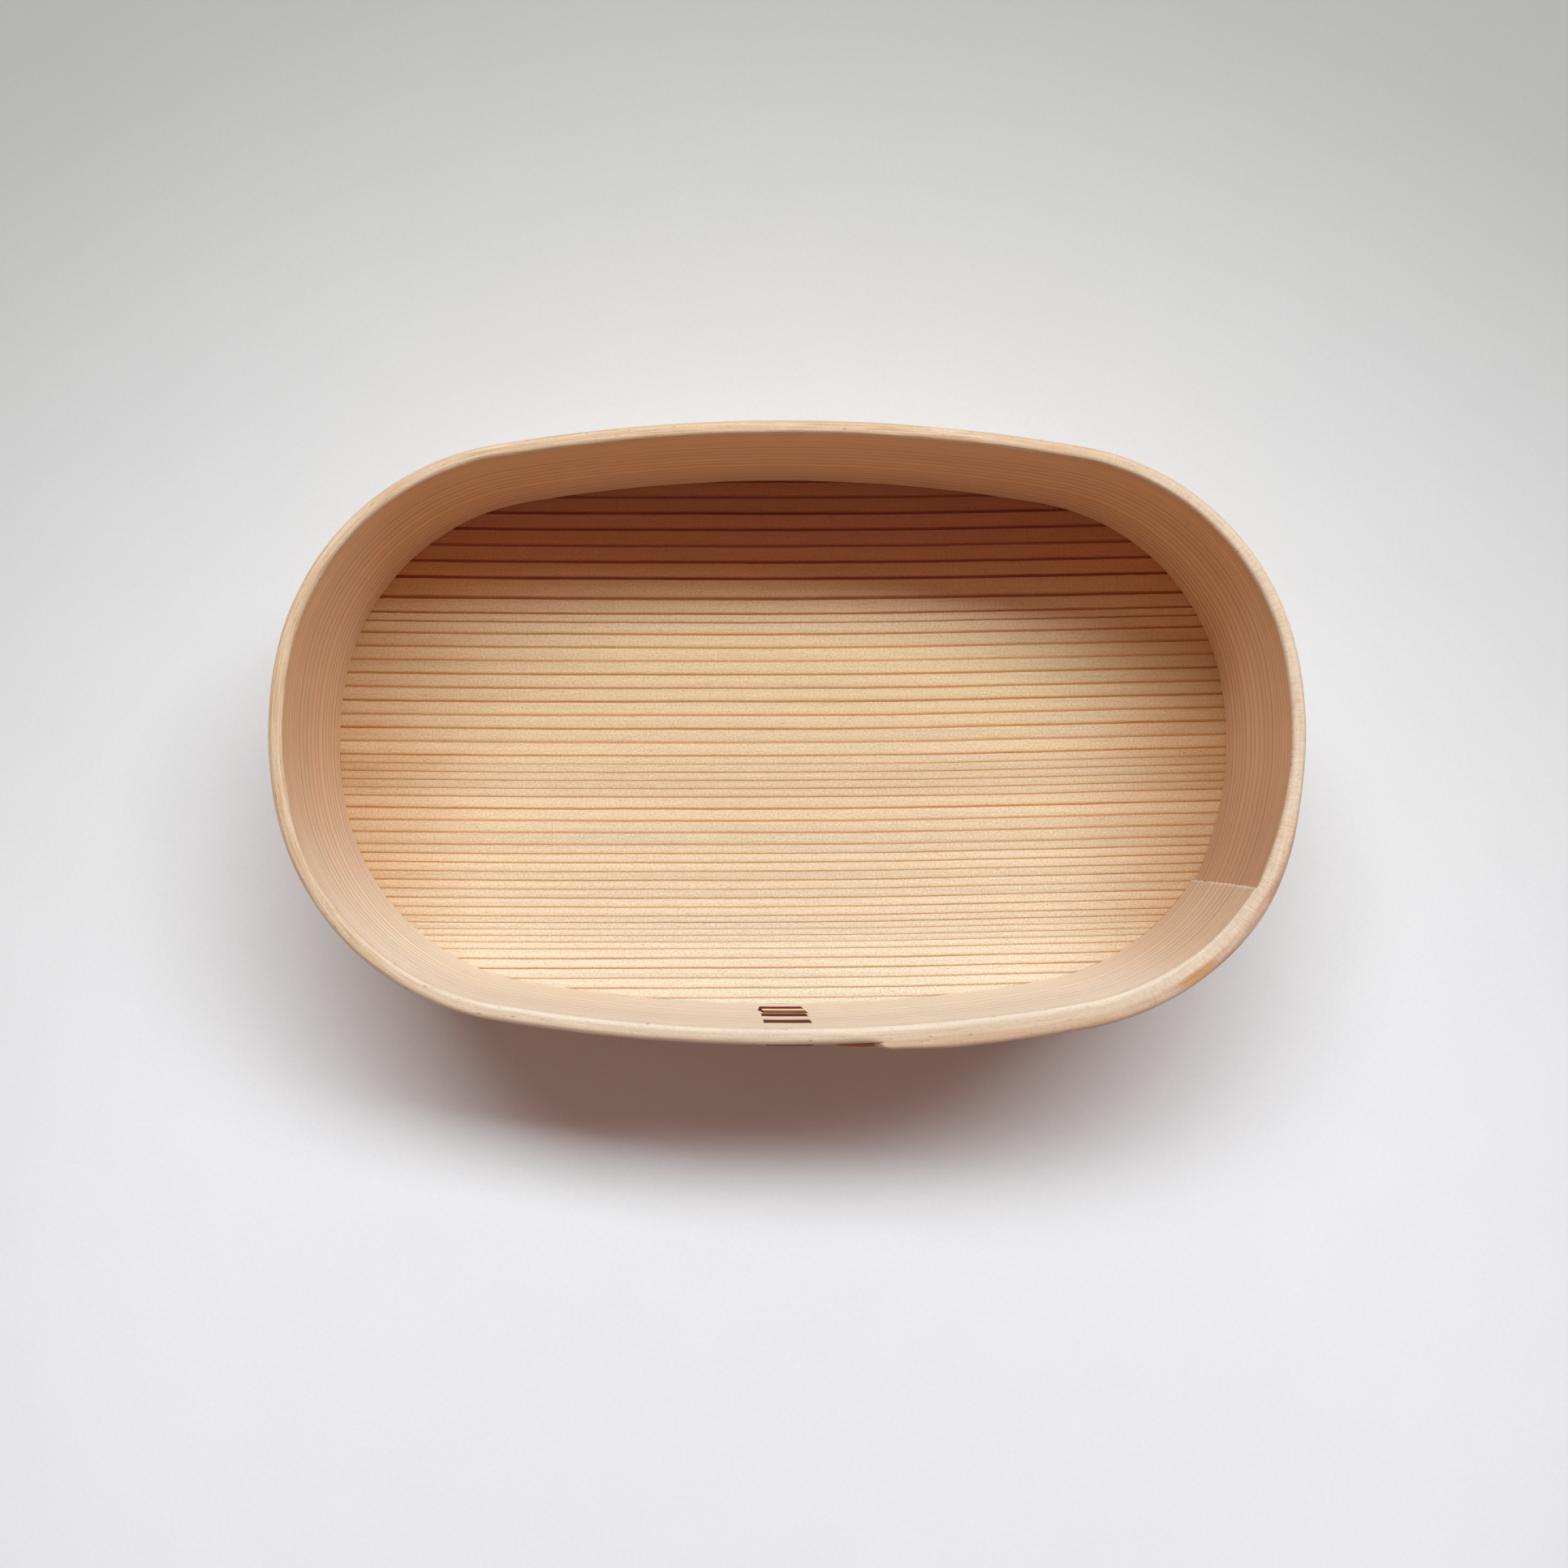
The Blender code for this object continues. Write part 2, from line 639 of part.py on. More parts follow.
    def make_cutters(self, collection):
        """Make the through slits, the two blind slits and the beds of the inner rungs."""
        last = len(self.depths) - 1
        slit_width = TAPE_THICKNESS + 2 * TAPE_CLEARANCE
        for rung in range(last):
            ends = self.slit_ends(rung, rung + 1)
            self.cut_block(f"slit_{rung + 1}", ends, slit_width, TAPE_CLEARANCE, collection)
        for rung, far, name in ((0, False, "slit_start"), (last, True, "slit_finish")):
            ends = self.blind_ends(rung, far)
            self.cut_block(name, ends, slit_width, TAPE_CLEARANCE, collection)
        for rung in range(1, last, 2):
            ends = self.bed_ends(rung)
            width = RUNG_LENGTH + slit_width
            self.cut_block(f"bed_{rung}", ends, width, BED_CLEARANCE, collection)


def make_tape(lacing, collection, parent):
    """Make the bark tape, with its origin on the rim above the column."""
    grid = lacing.grid()
    anchor = lacing.lap.oval.points(np.array(lacing.column), np.array(0.0), BAND_HEIGHT)
    mesh = loft_mesh("bark_lacing", grid - anchor)
    mesh.materials.append(new_material("cherry_bark", (84, 40, 26), 0.35))
    shade_round(mesh)
    return add_object("bark_lacing", mesh, collection, parent, tuple(anchor))


def centre_footprint(oval, lap):
    """Move the outline so that the box's footprint is centred on the origin."""
    plan = band_grid(lap)[..., :2].reshape(-1, 2)
    oval.origin = (plan.min(axis=0) + plan.max(axis=0)) / 2


def main():
    """Build the lunch box."""
    clear_scene()
    parts = new_collection("oval_lunch_box")
    cutters = new_collection("cutters")
    oval = Oval()
    lap = Lap(oval)
    centre_footprint(oval, lap)
    base = add_object("lunch_box_base", None, parts)
    lacing = Lacing(lap)
    lacing.make_cutters(cutters)
    make_band(lap, parts, base, cutters)
    make_board(lap, parts, base)
    make_tape(lacing, parts, base)
    bpy.context.view_layer.update()


main()
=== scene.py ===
"""Looks of the oval bentwood lunch box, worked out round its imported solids.

Metres, +Z up. The band is one strip of cedar: it starts inside the lap at the front right, goes
round the box clockwise as seen from above, and ends over its own start. Places along it count in
metres from the oval's right end.
"""
import logging
import math
from dataclasses import dataclass
from enum import Enum
from functools import cached_property
from typing import Mapping, Optional, Sequence, Union

import bmesh
import bpy
import numpy as np
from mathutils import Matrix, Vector


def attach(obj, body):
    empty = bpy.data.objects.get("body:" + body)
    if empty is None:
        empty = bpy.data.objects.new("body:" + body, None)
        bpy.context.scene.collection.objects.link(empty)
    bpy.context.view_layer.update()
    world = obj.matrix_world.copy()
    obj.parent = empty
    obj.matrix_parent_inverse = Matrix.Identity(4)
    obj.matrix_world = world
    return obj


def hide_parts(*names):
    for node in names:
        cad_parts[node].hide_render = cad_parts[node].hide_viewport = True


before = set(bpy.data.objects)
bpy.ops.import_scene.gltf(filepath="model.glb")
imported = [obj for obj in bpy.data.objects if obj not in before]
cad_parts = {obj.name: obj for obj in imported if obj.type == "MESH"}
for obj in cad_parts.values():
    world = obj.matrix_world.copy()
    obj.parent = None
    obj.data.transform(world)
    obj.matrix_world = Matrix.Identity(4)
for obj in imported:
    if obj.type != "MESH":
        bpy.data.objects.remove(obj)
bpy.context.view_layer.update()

LOG = logging.getLogger("lunch_box")
BODY = "root"
PICTURE_SIDE = 1932
MM_PER_M = 1000.0

STRIP_FACE = "strip_face"
STRIP_DEPTH = "strip_depth"
BOARD_FACE = "board_face"
RIM_CIRCLE = "rim_circle"
TAPE_FACE = "tape_face"
TAPE_LIFT = "tape_lift"

MATH = "ShaderNodeMath"
VECTOR_MATH = "ShaderNodeVectorMath"
NOISE = "ShaderNodeTexNoise"
WHITE_NOISE = "ShaderNodeTexWhiteNoise"
RAMP = "ShaderNodeValToRGB"
RANGE = "ShaderNodeMapRange"
MIX = "ShaderNodeMix"
MAPPING = "ShaderNodeMapping"
CURVE = "ShaderNodeFloatCurve"
SPLIT = "ShaderNodeSeparateXYZ"
JOIN = "ShaderNodeCombineXYZ"
UV_MAP = "ShaderNodeUVMap"
BUMP = "ShaderNodeBump"
SMOOTH = {"interpolation_type": "SMOOTHSTEP"}
MIX_A, MIX_B, MIX_RESULT = 6, 7, 2
QUARTER_TURN = 0.25
SHARP_DEG = 40.0
PALE = "ecebea"

Array = np.ndarray
Source = Union[bpy.types.Node, bpy.types.NodeSocket]
Links = Mapping[Union[int, str], Source]
Values = Mapping[Union[int, str], Union[float, Sequence[float]]]
Stops = Sequence[tuple[float, Union[float, str]]]
Knots = Sequence[tuple[float, float]]
Span = tuple[float, ...]


def ease(x: Array, start: Union[float, Array], end: Union[float, Array]) -> Array:
    """Rise smoothly from 0 at start to 1 at end: 3 t squared less 2 t cubed.

    Args:
        x: Where to read the rise.
        start: Where it starts.
        end: Where it ends.

    Returns:
        The rise at each x.
    """
    t = np.clip((x - start) / (end - start), 0.0, 1.0)
    return t * t * (3.0 - 2.0 * t)


def mix(a: Array, b: Array, t: Array) -> Array:
    """Go in a straight line from a at t = 0 to b at t = 1."""
    return a + (b - a) * t


def ripple(x: Array, waves: Sequence[float], seed: int) -> Array:
    """Sum sine waves of equal weight and seeded phase, for the unevenness of hand work.

    Args:
        x: Places in metres.
        waves: The wavelengths in metres.
        seed: Chooses the phases.

    Returns:
        Values from -1 to 1.
    """
    phases = np.random.default_rng(seed).uniform(0.0, 2.0 * math.pi, len(waves))
    total = sum(np.sin(2.0 * math.pi * x / wave + phase) for wave, phase in zip(waves, phases))
    return total / len(waves)


def spaced(start: float, end: float, step: float) -> Array:
    """Divide a stretch evenly into pieces no longer than step.

    Args:
        start: Where the stretch starts.
        end: Where it ends.
        step: The longest piece.

    Returns:
        The dividing points, both ends included.
    """
    return np.linspace(start, end, max(1, math.ceil((end - start) / step)) + 1)


def linear_colour(code: str) -> tuple[float, float, float, float]:
    """Turn an sRGB hex code into a linear colour with full alpha.

    Args:
        code: Six hex digits.

    Returns:
        Linear red, green, blue and alpha.
    """
    shares = [int(code[at:at + 2], 16) / 255 for at in (0, 2, 4)]
    linear = [s / 12.92 if s <= 0.04045 else ((s + 0.055) / 1.055) ** 2.4 for s in shares]
    return (*linear, 1.0)


def add_node(tree: bpy.types.NodeTree, kind: str, values: Optional[Values] = None,
             links: Optional[Links] = None, **settings: object) -> bpy.types.Node:
    """Add a node with its settings, its sockets' values and its links.

    Args:
        tree: The node tree.
        kind: The node type's name.
        values: Constants by input socket.
        links: Sources by input socket: an output socket, or a node for its first output.
        settings: The node's own properties.

    Returns:
        The node.
    """
    node = tree.nodes.new(kind)
    for name, value in settings.items():
        setattr(node, name, value)
    for socket, value in (values or {}).items():
        node.inputs[socket].default_value = value
    for socket, source in (links or {}).items():
        output = source.outputs[0] if isinstance(source, bpy.types.Node) else source
        tree.links.new(output, node.inputs[socket])
    return node


def span(values: Span) -> Values:
    """Give a range node its start and end, and what they become, which is 0 and 1 if left out."""
    return dict(enumerate(values, 1))


def new_material(name: str) -> tuple[bpy.types.Material, bpy.types.NodeTree, bpy.types.Node]:
    """Make a material with nodes, and give it with its tree and its main shader."""
    material = bpy.data.materials.new(name)
    material.use_nodes = True
    return material, material.node_tree, material.node_tree.nodes["Principled BSDF"]


def set_shader(shader: bpy.types.Node, inputs: Mapping[str, Union[float, Sequence[float], Source]]
               ) -> None:
    """Set a shader's inputs.

    Args:
        shader: The shader node.
        inputs: By input socket, a constant or the source that it is linked to.
    """
    for socket, value in inputs.items():
        if isinstance(value, (bpy.types.Node, bpy.types.NodeSocket)):
            output = value.outputs[0] if isinstance(value, bpy.types.Node) else value
            shader.id_data.links.new(output, shader.inputs[socket])
        else:
            shader.inputs[socket].default_value = value


def product(tree: bpy.types.NodeTree, first: Source, *others: Source) -> Source:
    """Multiply shares.

    Args:
        tree: The node tree.
        first: One share.
        others: The others, if any.

    Returns:
        The source of the product.
    """
    for other in others:
        first = add_node(tree, MATH, links={0: first, 1: other}, operation="MULTIPLY")
    return first


def weighted(tree: bpy.types.NodeTree, total: Union[float, Source],
             *terms: tuple[Source, float]) -> Source:
    """Add values, each times its own factor.

    Args:
        tree: The node tree.
        total: The number or the source to start from.
        terms: Pairs of a source and its factor.

    Returns:
        The source of the sum.
    """
    for source, factor in terms:
        values, links = {1: factor}, {0: source}
        (values if isinstance(total, float) else links)[2] = total
        total = add_node(tree, MATH, values, links, operation="MULTIPLY_ADD")
    return total


def tint(tree: bpy.types.NodeTree, colour: Union[str, Source], code: str, *shares: Source,
         blend: str = "MIX") -> bpy.types.NodeSocket:
    """Mix a hex colour into another by a share.

    Args:
        tree: The node tree.
        colour: The colour so far, a hex code or a source.
        code: The hex colour to mix in.
        shares: What to multiply for the share.
        blend: How to mix.

    Returns:
        The mixed colour.
    """
    values, links = {MIX_B: linear_colour(code)}, {0: product(tree, *shares)}
    if isinstance(colour, str):
        values[MIX_A] = linear_colour(colour)
    else:
        links[MIX_A] = colour
    return add_node(tree, MIX, values, links, data_type="RGBA",
                    blend_type=blend).outputs[MIX_RESULT]


def set_stops(ramp: bpy.types.Node, stops: Stops) -> bpy.types.Node:
    """Set a colour ramp's stops, each a grey level or a hex colour.

    Args:
        ramp: The colour ramp node.
        stops: Pairs of position and grey level or colour.

    Returns:
        The same node.
    """
    elements = ramp.color_ramp.elements
    elements.remove(elements[-1])
    elements[0].position = stops[0][0]
    for position, _ in stops[1:]:
        elements.new(position)
    for element, (_, tone) in zip(elements, stops):
        element.color = linear_colour(tone) if isinstance(tone, str) else (tone, tone, tone, 1.0)
    return ramp


def seen_directly(tree: bpy.types.NodeTree) -> bpy.types.Node:
    """Give 1 on rays from the camera, and on those that metal or glass sends on.

    Args:
        tree: The tree to add to.

    Returns:
        The node with the share.
    """
    path = add_node(tree, "ShaderNodeLightPath")
    direct = add_node(tree, MATH, links={0: path.outputs["Is Camera Ray"],
                                         1: path.outputs["Is Glossy Ray"]}, operation="ADD")
    return add_node(tree, MATH, links={0: direct, 1: path.outputs["Is Transmission Ray"]},
                    operation="ADD", use_clamp=True)


class Bend(Enum):
    """How a float curve goes from one point to the next."""

    STRAIGHT = "VECTOR"
    SMOOTH = "AUTO"


def follow(tree: bpy.types.NodeTree, source: bpy.types.Node, knots: Knots,
           bend: Bend) -> bpy.types.Node:
    """Carry a value along a curve through knots.

    Args:
        tree: The node tree.
        source: The value.
        knots: Pairs of the value and what it becomes, in the order of the value.
        bend: How the curve goes from one knot to the next.

    Returns:
        The node with the value that comes out.
    """
    start, end = knots[0][0], knots[-1][0]
    low = min(result for _, result in knots)
    rise = max(result for _, result in knots) - low
    share = add_node(tree, RANGE, span((start, end)), {0: source})
    node = add_node(tree, CURVE, links={1: share})
    points = node.mapping.curves[0].points
    places = [((value - start) / (end - start), (result - low) / rise)
              for value, result in knots]
    points[0].location, points[1].location = places[0], places[-1]
    for place in places[1:-1]:
        points.new(*place)
    for point in points:
        point.handle_type = bend.value
    node.mapping.update()
    return add_node(tree, MATH, {1: rise, 2: low}, {0: node}, operation="MULTIPLY_ADD")


@dataclass(frozen=True)
class Oval:
    """The outline of the band's outside: nine tangent arcs, clockwise from the right end."""

    box_length: float = 0.1900
    box_width: float = 0.1144
    end_radius: float = 0.0740
    corner_radius: float = 0.0488
    side_radius: float = 0.3158
    middle_y: float = 0.000424

    @cached_property
    def corner_centre(self) -> Array:
        """Find the corner arc's centre: a known distance from the end's and the side's centres."""
        end, side = self.end_centre, self.side_centre
        from_end = self.end_radius - self.corner_radius
        from_side = self.side_radius - self.corner_radius
        span = float(np.linalg.norm(end - side))
        along = (end - side) / span
        reach = (from_side**2 - from_end**2 + span**2) / (2.0 * span)
        rise = math.sqrt(from_side**2 - reach**2)
        return side + reach * along + rise * np.array([along[1], -along[0]])

    @cached_property
    def end_centre(self) -> Array:
        """Give the centre of the arc at the right end."""
        return np.array([self.box_length / 2 - self.end_radius, 0.0])

    @cached_property
    def side_centre(self) -> Array:
        """Give the centre of the arc at the back."""
        return np.array([0.0, self.box_width / 2 - self.side_radius])

    @cached_property
    def arcs(self) -> tuple[Array, Array, Array]:
        """Give the arcs' radii, turns and centres, in the order that they are followed."""
        end, side, corner = self.end_centre, self.side_centre, self.corner_centre
        end_turn = math.atan2(corner[1] - end[1], corner[0] - end[0])
        side_turn = math.atan2(corner[1] - side[1], corner[0] - side[0])
        turn = side_turn - end_turn
        flip_x, flip_y = np.array([-1.0, 1.0]), np.array([1.0, -1.0])
        radii = [self.end_radius, self.corner_radius, self.side_radius, self.corner_radius]
        turns = [end_turn, turn, math.pi - 2.0 * side_turn, turn]
        centres = [end, corner * flip_y, side * flip_y, -corner, end * flip_x, corner * flip_x,
                   side, corner, end]
        return (np.array(radii * 2 + radii[:1]),
                np.array(turns + [2.0 * end_turn] + turns[1:] + [end_turn]),
                np.array(centres))

    @cached_property
    def starts(self) -> Array:
        """Give the places where the arcs start, and the outline's length at the end."""
        radii, turns, _ = self.arcs
        return np.concatenate([[0.0], np.cumsum(radii * turns)])

    @property
    def perimeter(self) -> float:
        """Give the outline's length."""
        return float(self.starts[-1])

    def locate(self, place: Array) -> tuple[Array, Array]:
        """Give the arc that each place is on, and the angle of its outward normal.

        Args:
            place: Places along the outline.

        Returns:
            The arcs' numbers, and the angles, which fall as the places rise.
        """
        radii, turns, _ = self.arcs
        wrapped = np.mod(place, self.perimeter)
        arc = np.clip(np.searchsorted(self.starts, wrapped, side="right") - 1, 0, len(radii) - 1)
        before = np.concatenate([[0.0], np.cumsum(turns)])[arc]
        return arc, -(before + (wrapped - self.starts[arc]) / radii[arc])

    def points(self, place: Array, offset: Array, height: Array) -> Array:
        """Give 3-D points: the arc's centre plus its radius and offset along the normal.

        Args:
            place: Places along the outline.
            offset: How far outside the outline each point lies.
            height: Each point's height.

        Returns:
            The points, with one more axis than the places.
        """
        arc, angle = self.locate(place)
        radii, _, centres = self.arcs
        reach = radii[arc] + offset
        x = centres[arc][..., 0] + reach * np.cos(angle)
        y = centres[arc][..., 1] + reach * np.sin(angle) + self.middle_y
        return np.stack([x, y, np.broadcast_to(height, x.shape)], axis=-1)


@dataclass(frozen=True)
class Lap:
    """Where the lap's features lie along the oval, and the faces of the strip's layers.

    The strip's first pass is the inner layer of the lap and then the single wall. Its second
    pass is the outer layer, with the rounded nose and the thin tongue that is sewn down.
    """

    oval: Oval
    height: float = 0.0500
    wall_front: float = 0.0030
    wall_back: float = 0.0025
    nose_before_middle: float = 0.0166
    lap_length: float = 0.0790
    proud: float = 0.0019
    climb_before: float = 0.0220
    climb_past: float = 0.0080
    scarf_from_end: float = 0.0140
    scarf_length: float = 0.0440
    swell: float = 0.0009
    swell_run: float = 0.0220
    swell_top: float = 0.0040
    inner_end_slant: float = 0.0003
    feather_rim: float = 0.0004
    feather_floor: float = 0.0007
    feather_length: float = 0.0110
    feather_fade: float = 0.0160
    nose_thickness: float = 0.00125
    nose_taper: float = 0.0140
    nose_drop: float = 0.0026
    nose_run: float = 0.0016
    paring_drop: float = 0.0026
    paring_length: float = 0.0090
    tongue_drop: float = 0.0100
    tongue_step: float = 0.0030
    tongue_length: float = 0.0260
    tongue_thickness: float = 0.0009
    tongue_tip: float = 0.0006

    @property
    def middle(self) -> float:
        """Give the place of the front's middle."""
        return self.oval.perimeter / 4

    @property
    def nose(self) -> float:
        """Give the place where the outer end's rounded nose starts to fall."""
        return self.middle - self.nose_before_middle

    @property
    def inner_end(self) -> float:
        """Give the place where the strip starts."""
        return self.nose - self.lap_length

    @property
    def tip(self) -> float:
        """Give the place where the strip ends."""
        return self.nose + self.tongue_length

    def wall(self, place: Array) -> Array:
        """Give the strip's thickness, which changes with the normal from front to back."""
        _, angle = self.oval.locate(place)
        mean = (self.wall_front + self.wall_back) / 2
        return mean - (self.wall_front - self.wall_back) / 2 * np.sin(angle)

    def climb(self, place: Array) -> Array:
        """Give how far the outer layer's outer face has climbed off the oval."""
        return self.proud * ease(place, self.inner_end - self.climb_before,
                                 self.inner_end + self.climb_past)

    def contact(self, place: Array) -> Array:
        """Give the face between the layers; before the lap it is the wall's inner face."""
        start = self.inner_end + self.scarf_from_end
        return (self.climb(place) - self.wall(place)) * (
            1.0 - ease(place, start, start + self.scarf_length)) - self.swelling(place)

    def swelling(self, place: Array) -> Array:
        """Give how far the wall stands further in round the inner end, where glue fills it."""
        before = self.inner_end - self.swell_top
        after = self.inner_end + self.swell_top
        return self.swell * ease(place, before - self.swell_run, before) * (
            1.0 - ease(place, after, after + self.swell_run))

    def outer(self, place: Array) -> Array:
        """Give the outer layer's outer face: it thins to the nose, and again to the tip."""
        past = place - self.nose
        face = mix(self.climb(place), self.nose_thickness, ease(past, -self.nose_taper, 0.0))
        face = mix(face, self.tongue_thickness, np.clip(past / self.paring_length, 0.0, 1.0))
        return mix(face, self.tongue_tip, np.clip(past / self.tongue_length, 0.0, 1.0) ** 2)

    def lining(self, place: Array, level: Array) -> Array:
        """Give the inner layer's inner face, from its thin end to the full wall.

        Args:
            place: Places along the oval.
            level: Share of the height, 0 at the foot and 1 at the rim.

        Returns:
            Offsets from the oval.
        """
        thin = self.contact(np.asarray(self.inner_end)) - mix(
            self.feather_floor, self.feather_rim, level)
        start = self.inner_end + self.feather_length
        return mix(thin, -self.wall(place), ease(place, start, start + self.feather_fade))

    def top_drop(self, place: Array) -> Array:
        """Give how far the outer end's top lies below the rim: nose, paring, then tongue."""
        past = place - self.nose
        nose = self.nose_drop * ease(past, 0.0, self.nose_run)
        paring = self.paring_drop * np.clip(past / self.paring_length, 0.0, 1.0)
        start = self.paring_length - self.tongue_step / 2
        rest = self.tongue_drop - self.nose_drop - self.paring_drop
        return nose + paring + rest * ease(past, start, start + self.tongue_step)


def skin(name: str, grid: Array, maps: Mapping[str, Array]) -> bpy.types.Mesh:
    """Skin a grid of closed sections into a solid, with a flat cap on its first and last.

    Args:
        name: The mesh's name.
        grid: Points by section and by place round it.
        maps: UV maps by name, each a pair of values for every point.

    Returns:
        The mesh, with its faces outward.
    """
    sections, ring = grid.shape[:2]
    index = np.arange(sections * ring).reshape(sections, ring)
    beside = np.roll(index, -1, axis=1)
    quads = np.stack([index[:-1], index[1:], beside[1:], beside[:-1]], axis=-1)
    faces = quads.reshape(-1, 4).tolist() + [index[0].tolist(), index[-1][::-1].tolist()]
    mesh = bpy.data.meshes.new(name)
    mesh.from_pydata(grid.reshape(-1, 3).tolist(), [], faces)
    turn_outward(mesh)
    corner = np.empty(len(mesh.loops), np.int32)
    mesh.loops.foreach_get("vertex_index", corner)
    for label, values in maps.items():
        layer = mesh.uv_layers.new(name=label)
        layer.data.foreach_set("uv", values.reshape(-1, 2)[corner].astype(np.float32).ravel())
    return mesh


def turn_outward(mesh: bpy.types.Mesh) -> None:
    """Turn a closed mesh's faces outward, so that its signed volume is positive."""
    work = bmesh.new()
    work.from_mesh(mesh)
    bmesh.ops.recalc_face_normals(work, faces=work.faces[:])
    if work.calc_volume(signed=True) < 0.0:
        bmesh.ops.reverse_faces(work, faces=work.faces[:])
    work.to_mesh(mesh)
    work.free()


def show(name: str, mesh: bpy.types.Mesh, material: bpy.types.Material, node: str) -> bpy.types.Object:
    """Put a finished mesh in the scene in place of a node of the frame.

    Args:
        name: The piece's name.
        mesh: Its mesh, with its place in it.
        material: Its finish.
        node: The node that it stands for.

    Returns:
        The piece.
    """
    mesh.materials.clear()
    mesh.materials.append(material)
    mesh.shade_smooth()
    mesh.set_sharp_from_angle(angle=math.radians(SHARP_DEG))
    piece = bpy.data.objects.new(name, mesh)
    bpy.context.scene.collection.objects.link(piece)
    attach(piece, BODY)
    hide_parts(node)
    LOG.info("%s: %d faces", name, len(mesh.polygons))
    return piece


@dataclass(frozen=True)
class BentBand:
    """The bent strip of cedar: wall, lap, nose and tongue."""

    lap: Lap
    rim_round_out: float = 0.0013
    rim_round_in: float = 0.0008
    lap_round_in: float = 0.0013
    tongue_round: float = 0.0003
    nose_setback: float = 0.0017
    foot_round: float = 0.0005
    glue_line: float = 0.00001
    inner_end_ease: float = 0.0200
    rim_wear: float = 0.00012
    round_unevenness: float = 0.14
    face_unevenness: float = 0.00004
    face_lean: float = 0.3
    torn_edge: float = 0.00034
    station_step: float = 0.0015
    lacing_step: float = 0.0008
    detail_step: float = 0.0003
    wall_rows: int = 22
    top_segments: int = 8
    foot_segments: int = 3
    outer_round_share: float = 0.52
    inner_round_share: float = 0.42

    def stations(self) -> Array:
        """Give the places along the strip at which its section is worked out."""
        lap, once_round = self.lap, self.lap.oval.perimeter
        nose, tip = once_round + lap.nose, once_round + lap.tip
        near = 10.0 * self.lacing_step
        edges = [
            (lap.inner_end, lap.inner_end + near / 2, self.detail_step),
            (lap.inner_end + near / 2, lap.middle - near, self.station_step),
            (lap.middle - near, lap.middle + near, self.lacing_step),
            (lap.middle + near, nose - near / 2, self.station_step),
            (nose - near / 2, nose + lap.nose_run + near / 4, self.detail_step),
            (nose + lap.nose_run + near / 4, tip, self.lacing_step),
        ]
        stretches = [spaced(*edge) for edge in edges]
        return np.concatenate([stretches[0]] + [stretch[1:] for stretch in stretches[1:]])

    def section(self) -> tuple[Array, Array, Array, Array]:
        """Lay out the points round the section: up outside, over the rim, down inside.

        Returns:
            Whether each point is on the outside, its level from 0 at the foot to 1 at the rim,
            and how far it lies in from the corner along the thickness and along the height, as
            shares of the rounding.
        """
        rows = []
        levels = np.linspace(0.0, 1.0, self.wall_rows + 2)[1:-1]
        for outside in (1.0, 0.0):
            foot = np.linspace(0.0, math.pi / 2, self.foot_segments + 1)
            top = np.linspace(0.0, math.pi / 2, self.top_segments + 1)
            side = [(0.0, 1.0 - math.sin(t), 1.0 - math.cos(t)) for t in foot]
            side += [(level, 0.0, 1.0) for level in levels]
            side += [(1.0, 1.0 - math.cos(t), 1.0 - math.sin(t)) for t in top]
            rows += [(outside, *row) for row in (side if outside else side[::-1])]
        outside, level, inset, depth = np.array(rows).T
        return outside > 0.5, level, inset, depth

    def surface(self) -> tuple[Array, Array, Array, Array]:
        """Work out the strip over a grid of stations and section points.

        The offset of a point is its layer's face, less the corner's inset. Its height goes from
        the foot to the layer's top, less the corner's depth. Rounding, rim and faces are a
        little uneven, as sanding by hand leaves them.

        Returns:
            The points; and for each point the place along the strip and the height, the depth
            in the wood and the offset from the oval, and the place on a circle as long as the
            oval, which is the same on both layers of the lap.
        """
        lap = self.lap
        outside, level, inset_share, depth_share = (row[None, :] for row in self.section())
        station = self.stations()[:, None]
        slanting = 1.0 - ease(station, lap.inner_end, lap.inner_end + self.inner_end_ease)
        torn = ripple(level * lap.height, (0.0110, 0.0041, 0.0023, 0.0009, 0.0006), 5)
        run = station + slanting * (lap.inner_end_slant * (1.0 - level)
                                    + self.torn_edge * (torn - 1.0) * slanting**12)
        second = run >= 0.75 * lap.oval.perimeter
        place = np.where(second, run - lap.oval.perimeter, run)

        glued = 1.0 - ease(place, lap.tip, lap.tip + lap.nose_taper)
        outer = np.where(second, lap.outer(place), lap.contact(place) - self.glue_line * glued)
        inner = np.where(second, lap.contact(place), lap.lining(place, level))
        past_nose = ease(place, lap.nose, lap.nose + lap.nose_run)
        past_nose_run = 1.0 - ease(place, lap.nose + lap.nose_run,
                                   lap.nose + lap.nose_run + self.nose_setback)
        seen_inside = ~second | (place < lap.inner_end)
        uneven = self.face_unevenness * ripple(run + self.face_lean * level * lap.height,
                                               (0.031, 0.017, 0.0083), 11)
        inner = inner + uneven * seen_inside * ease(run, lap.inner_end,
                                                    lap.inner_end + self.inner_end_ease)

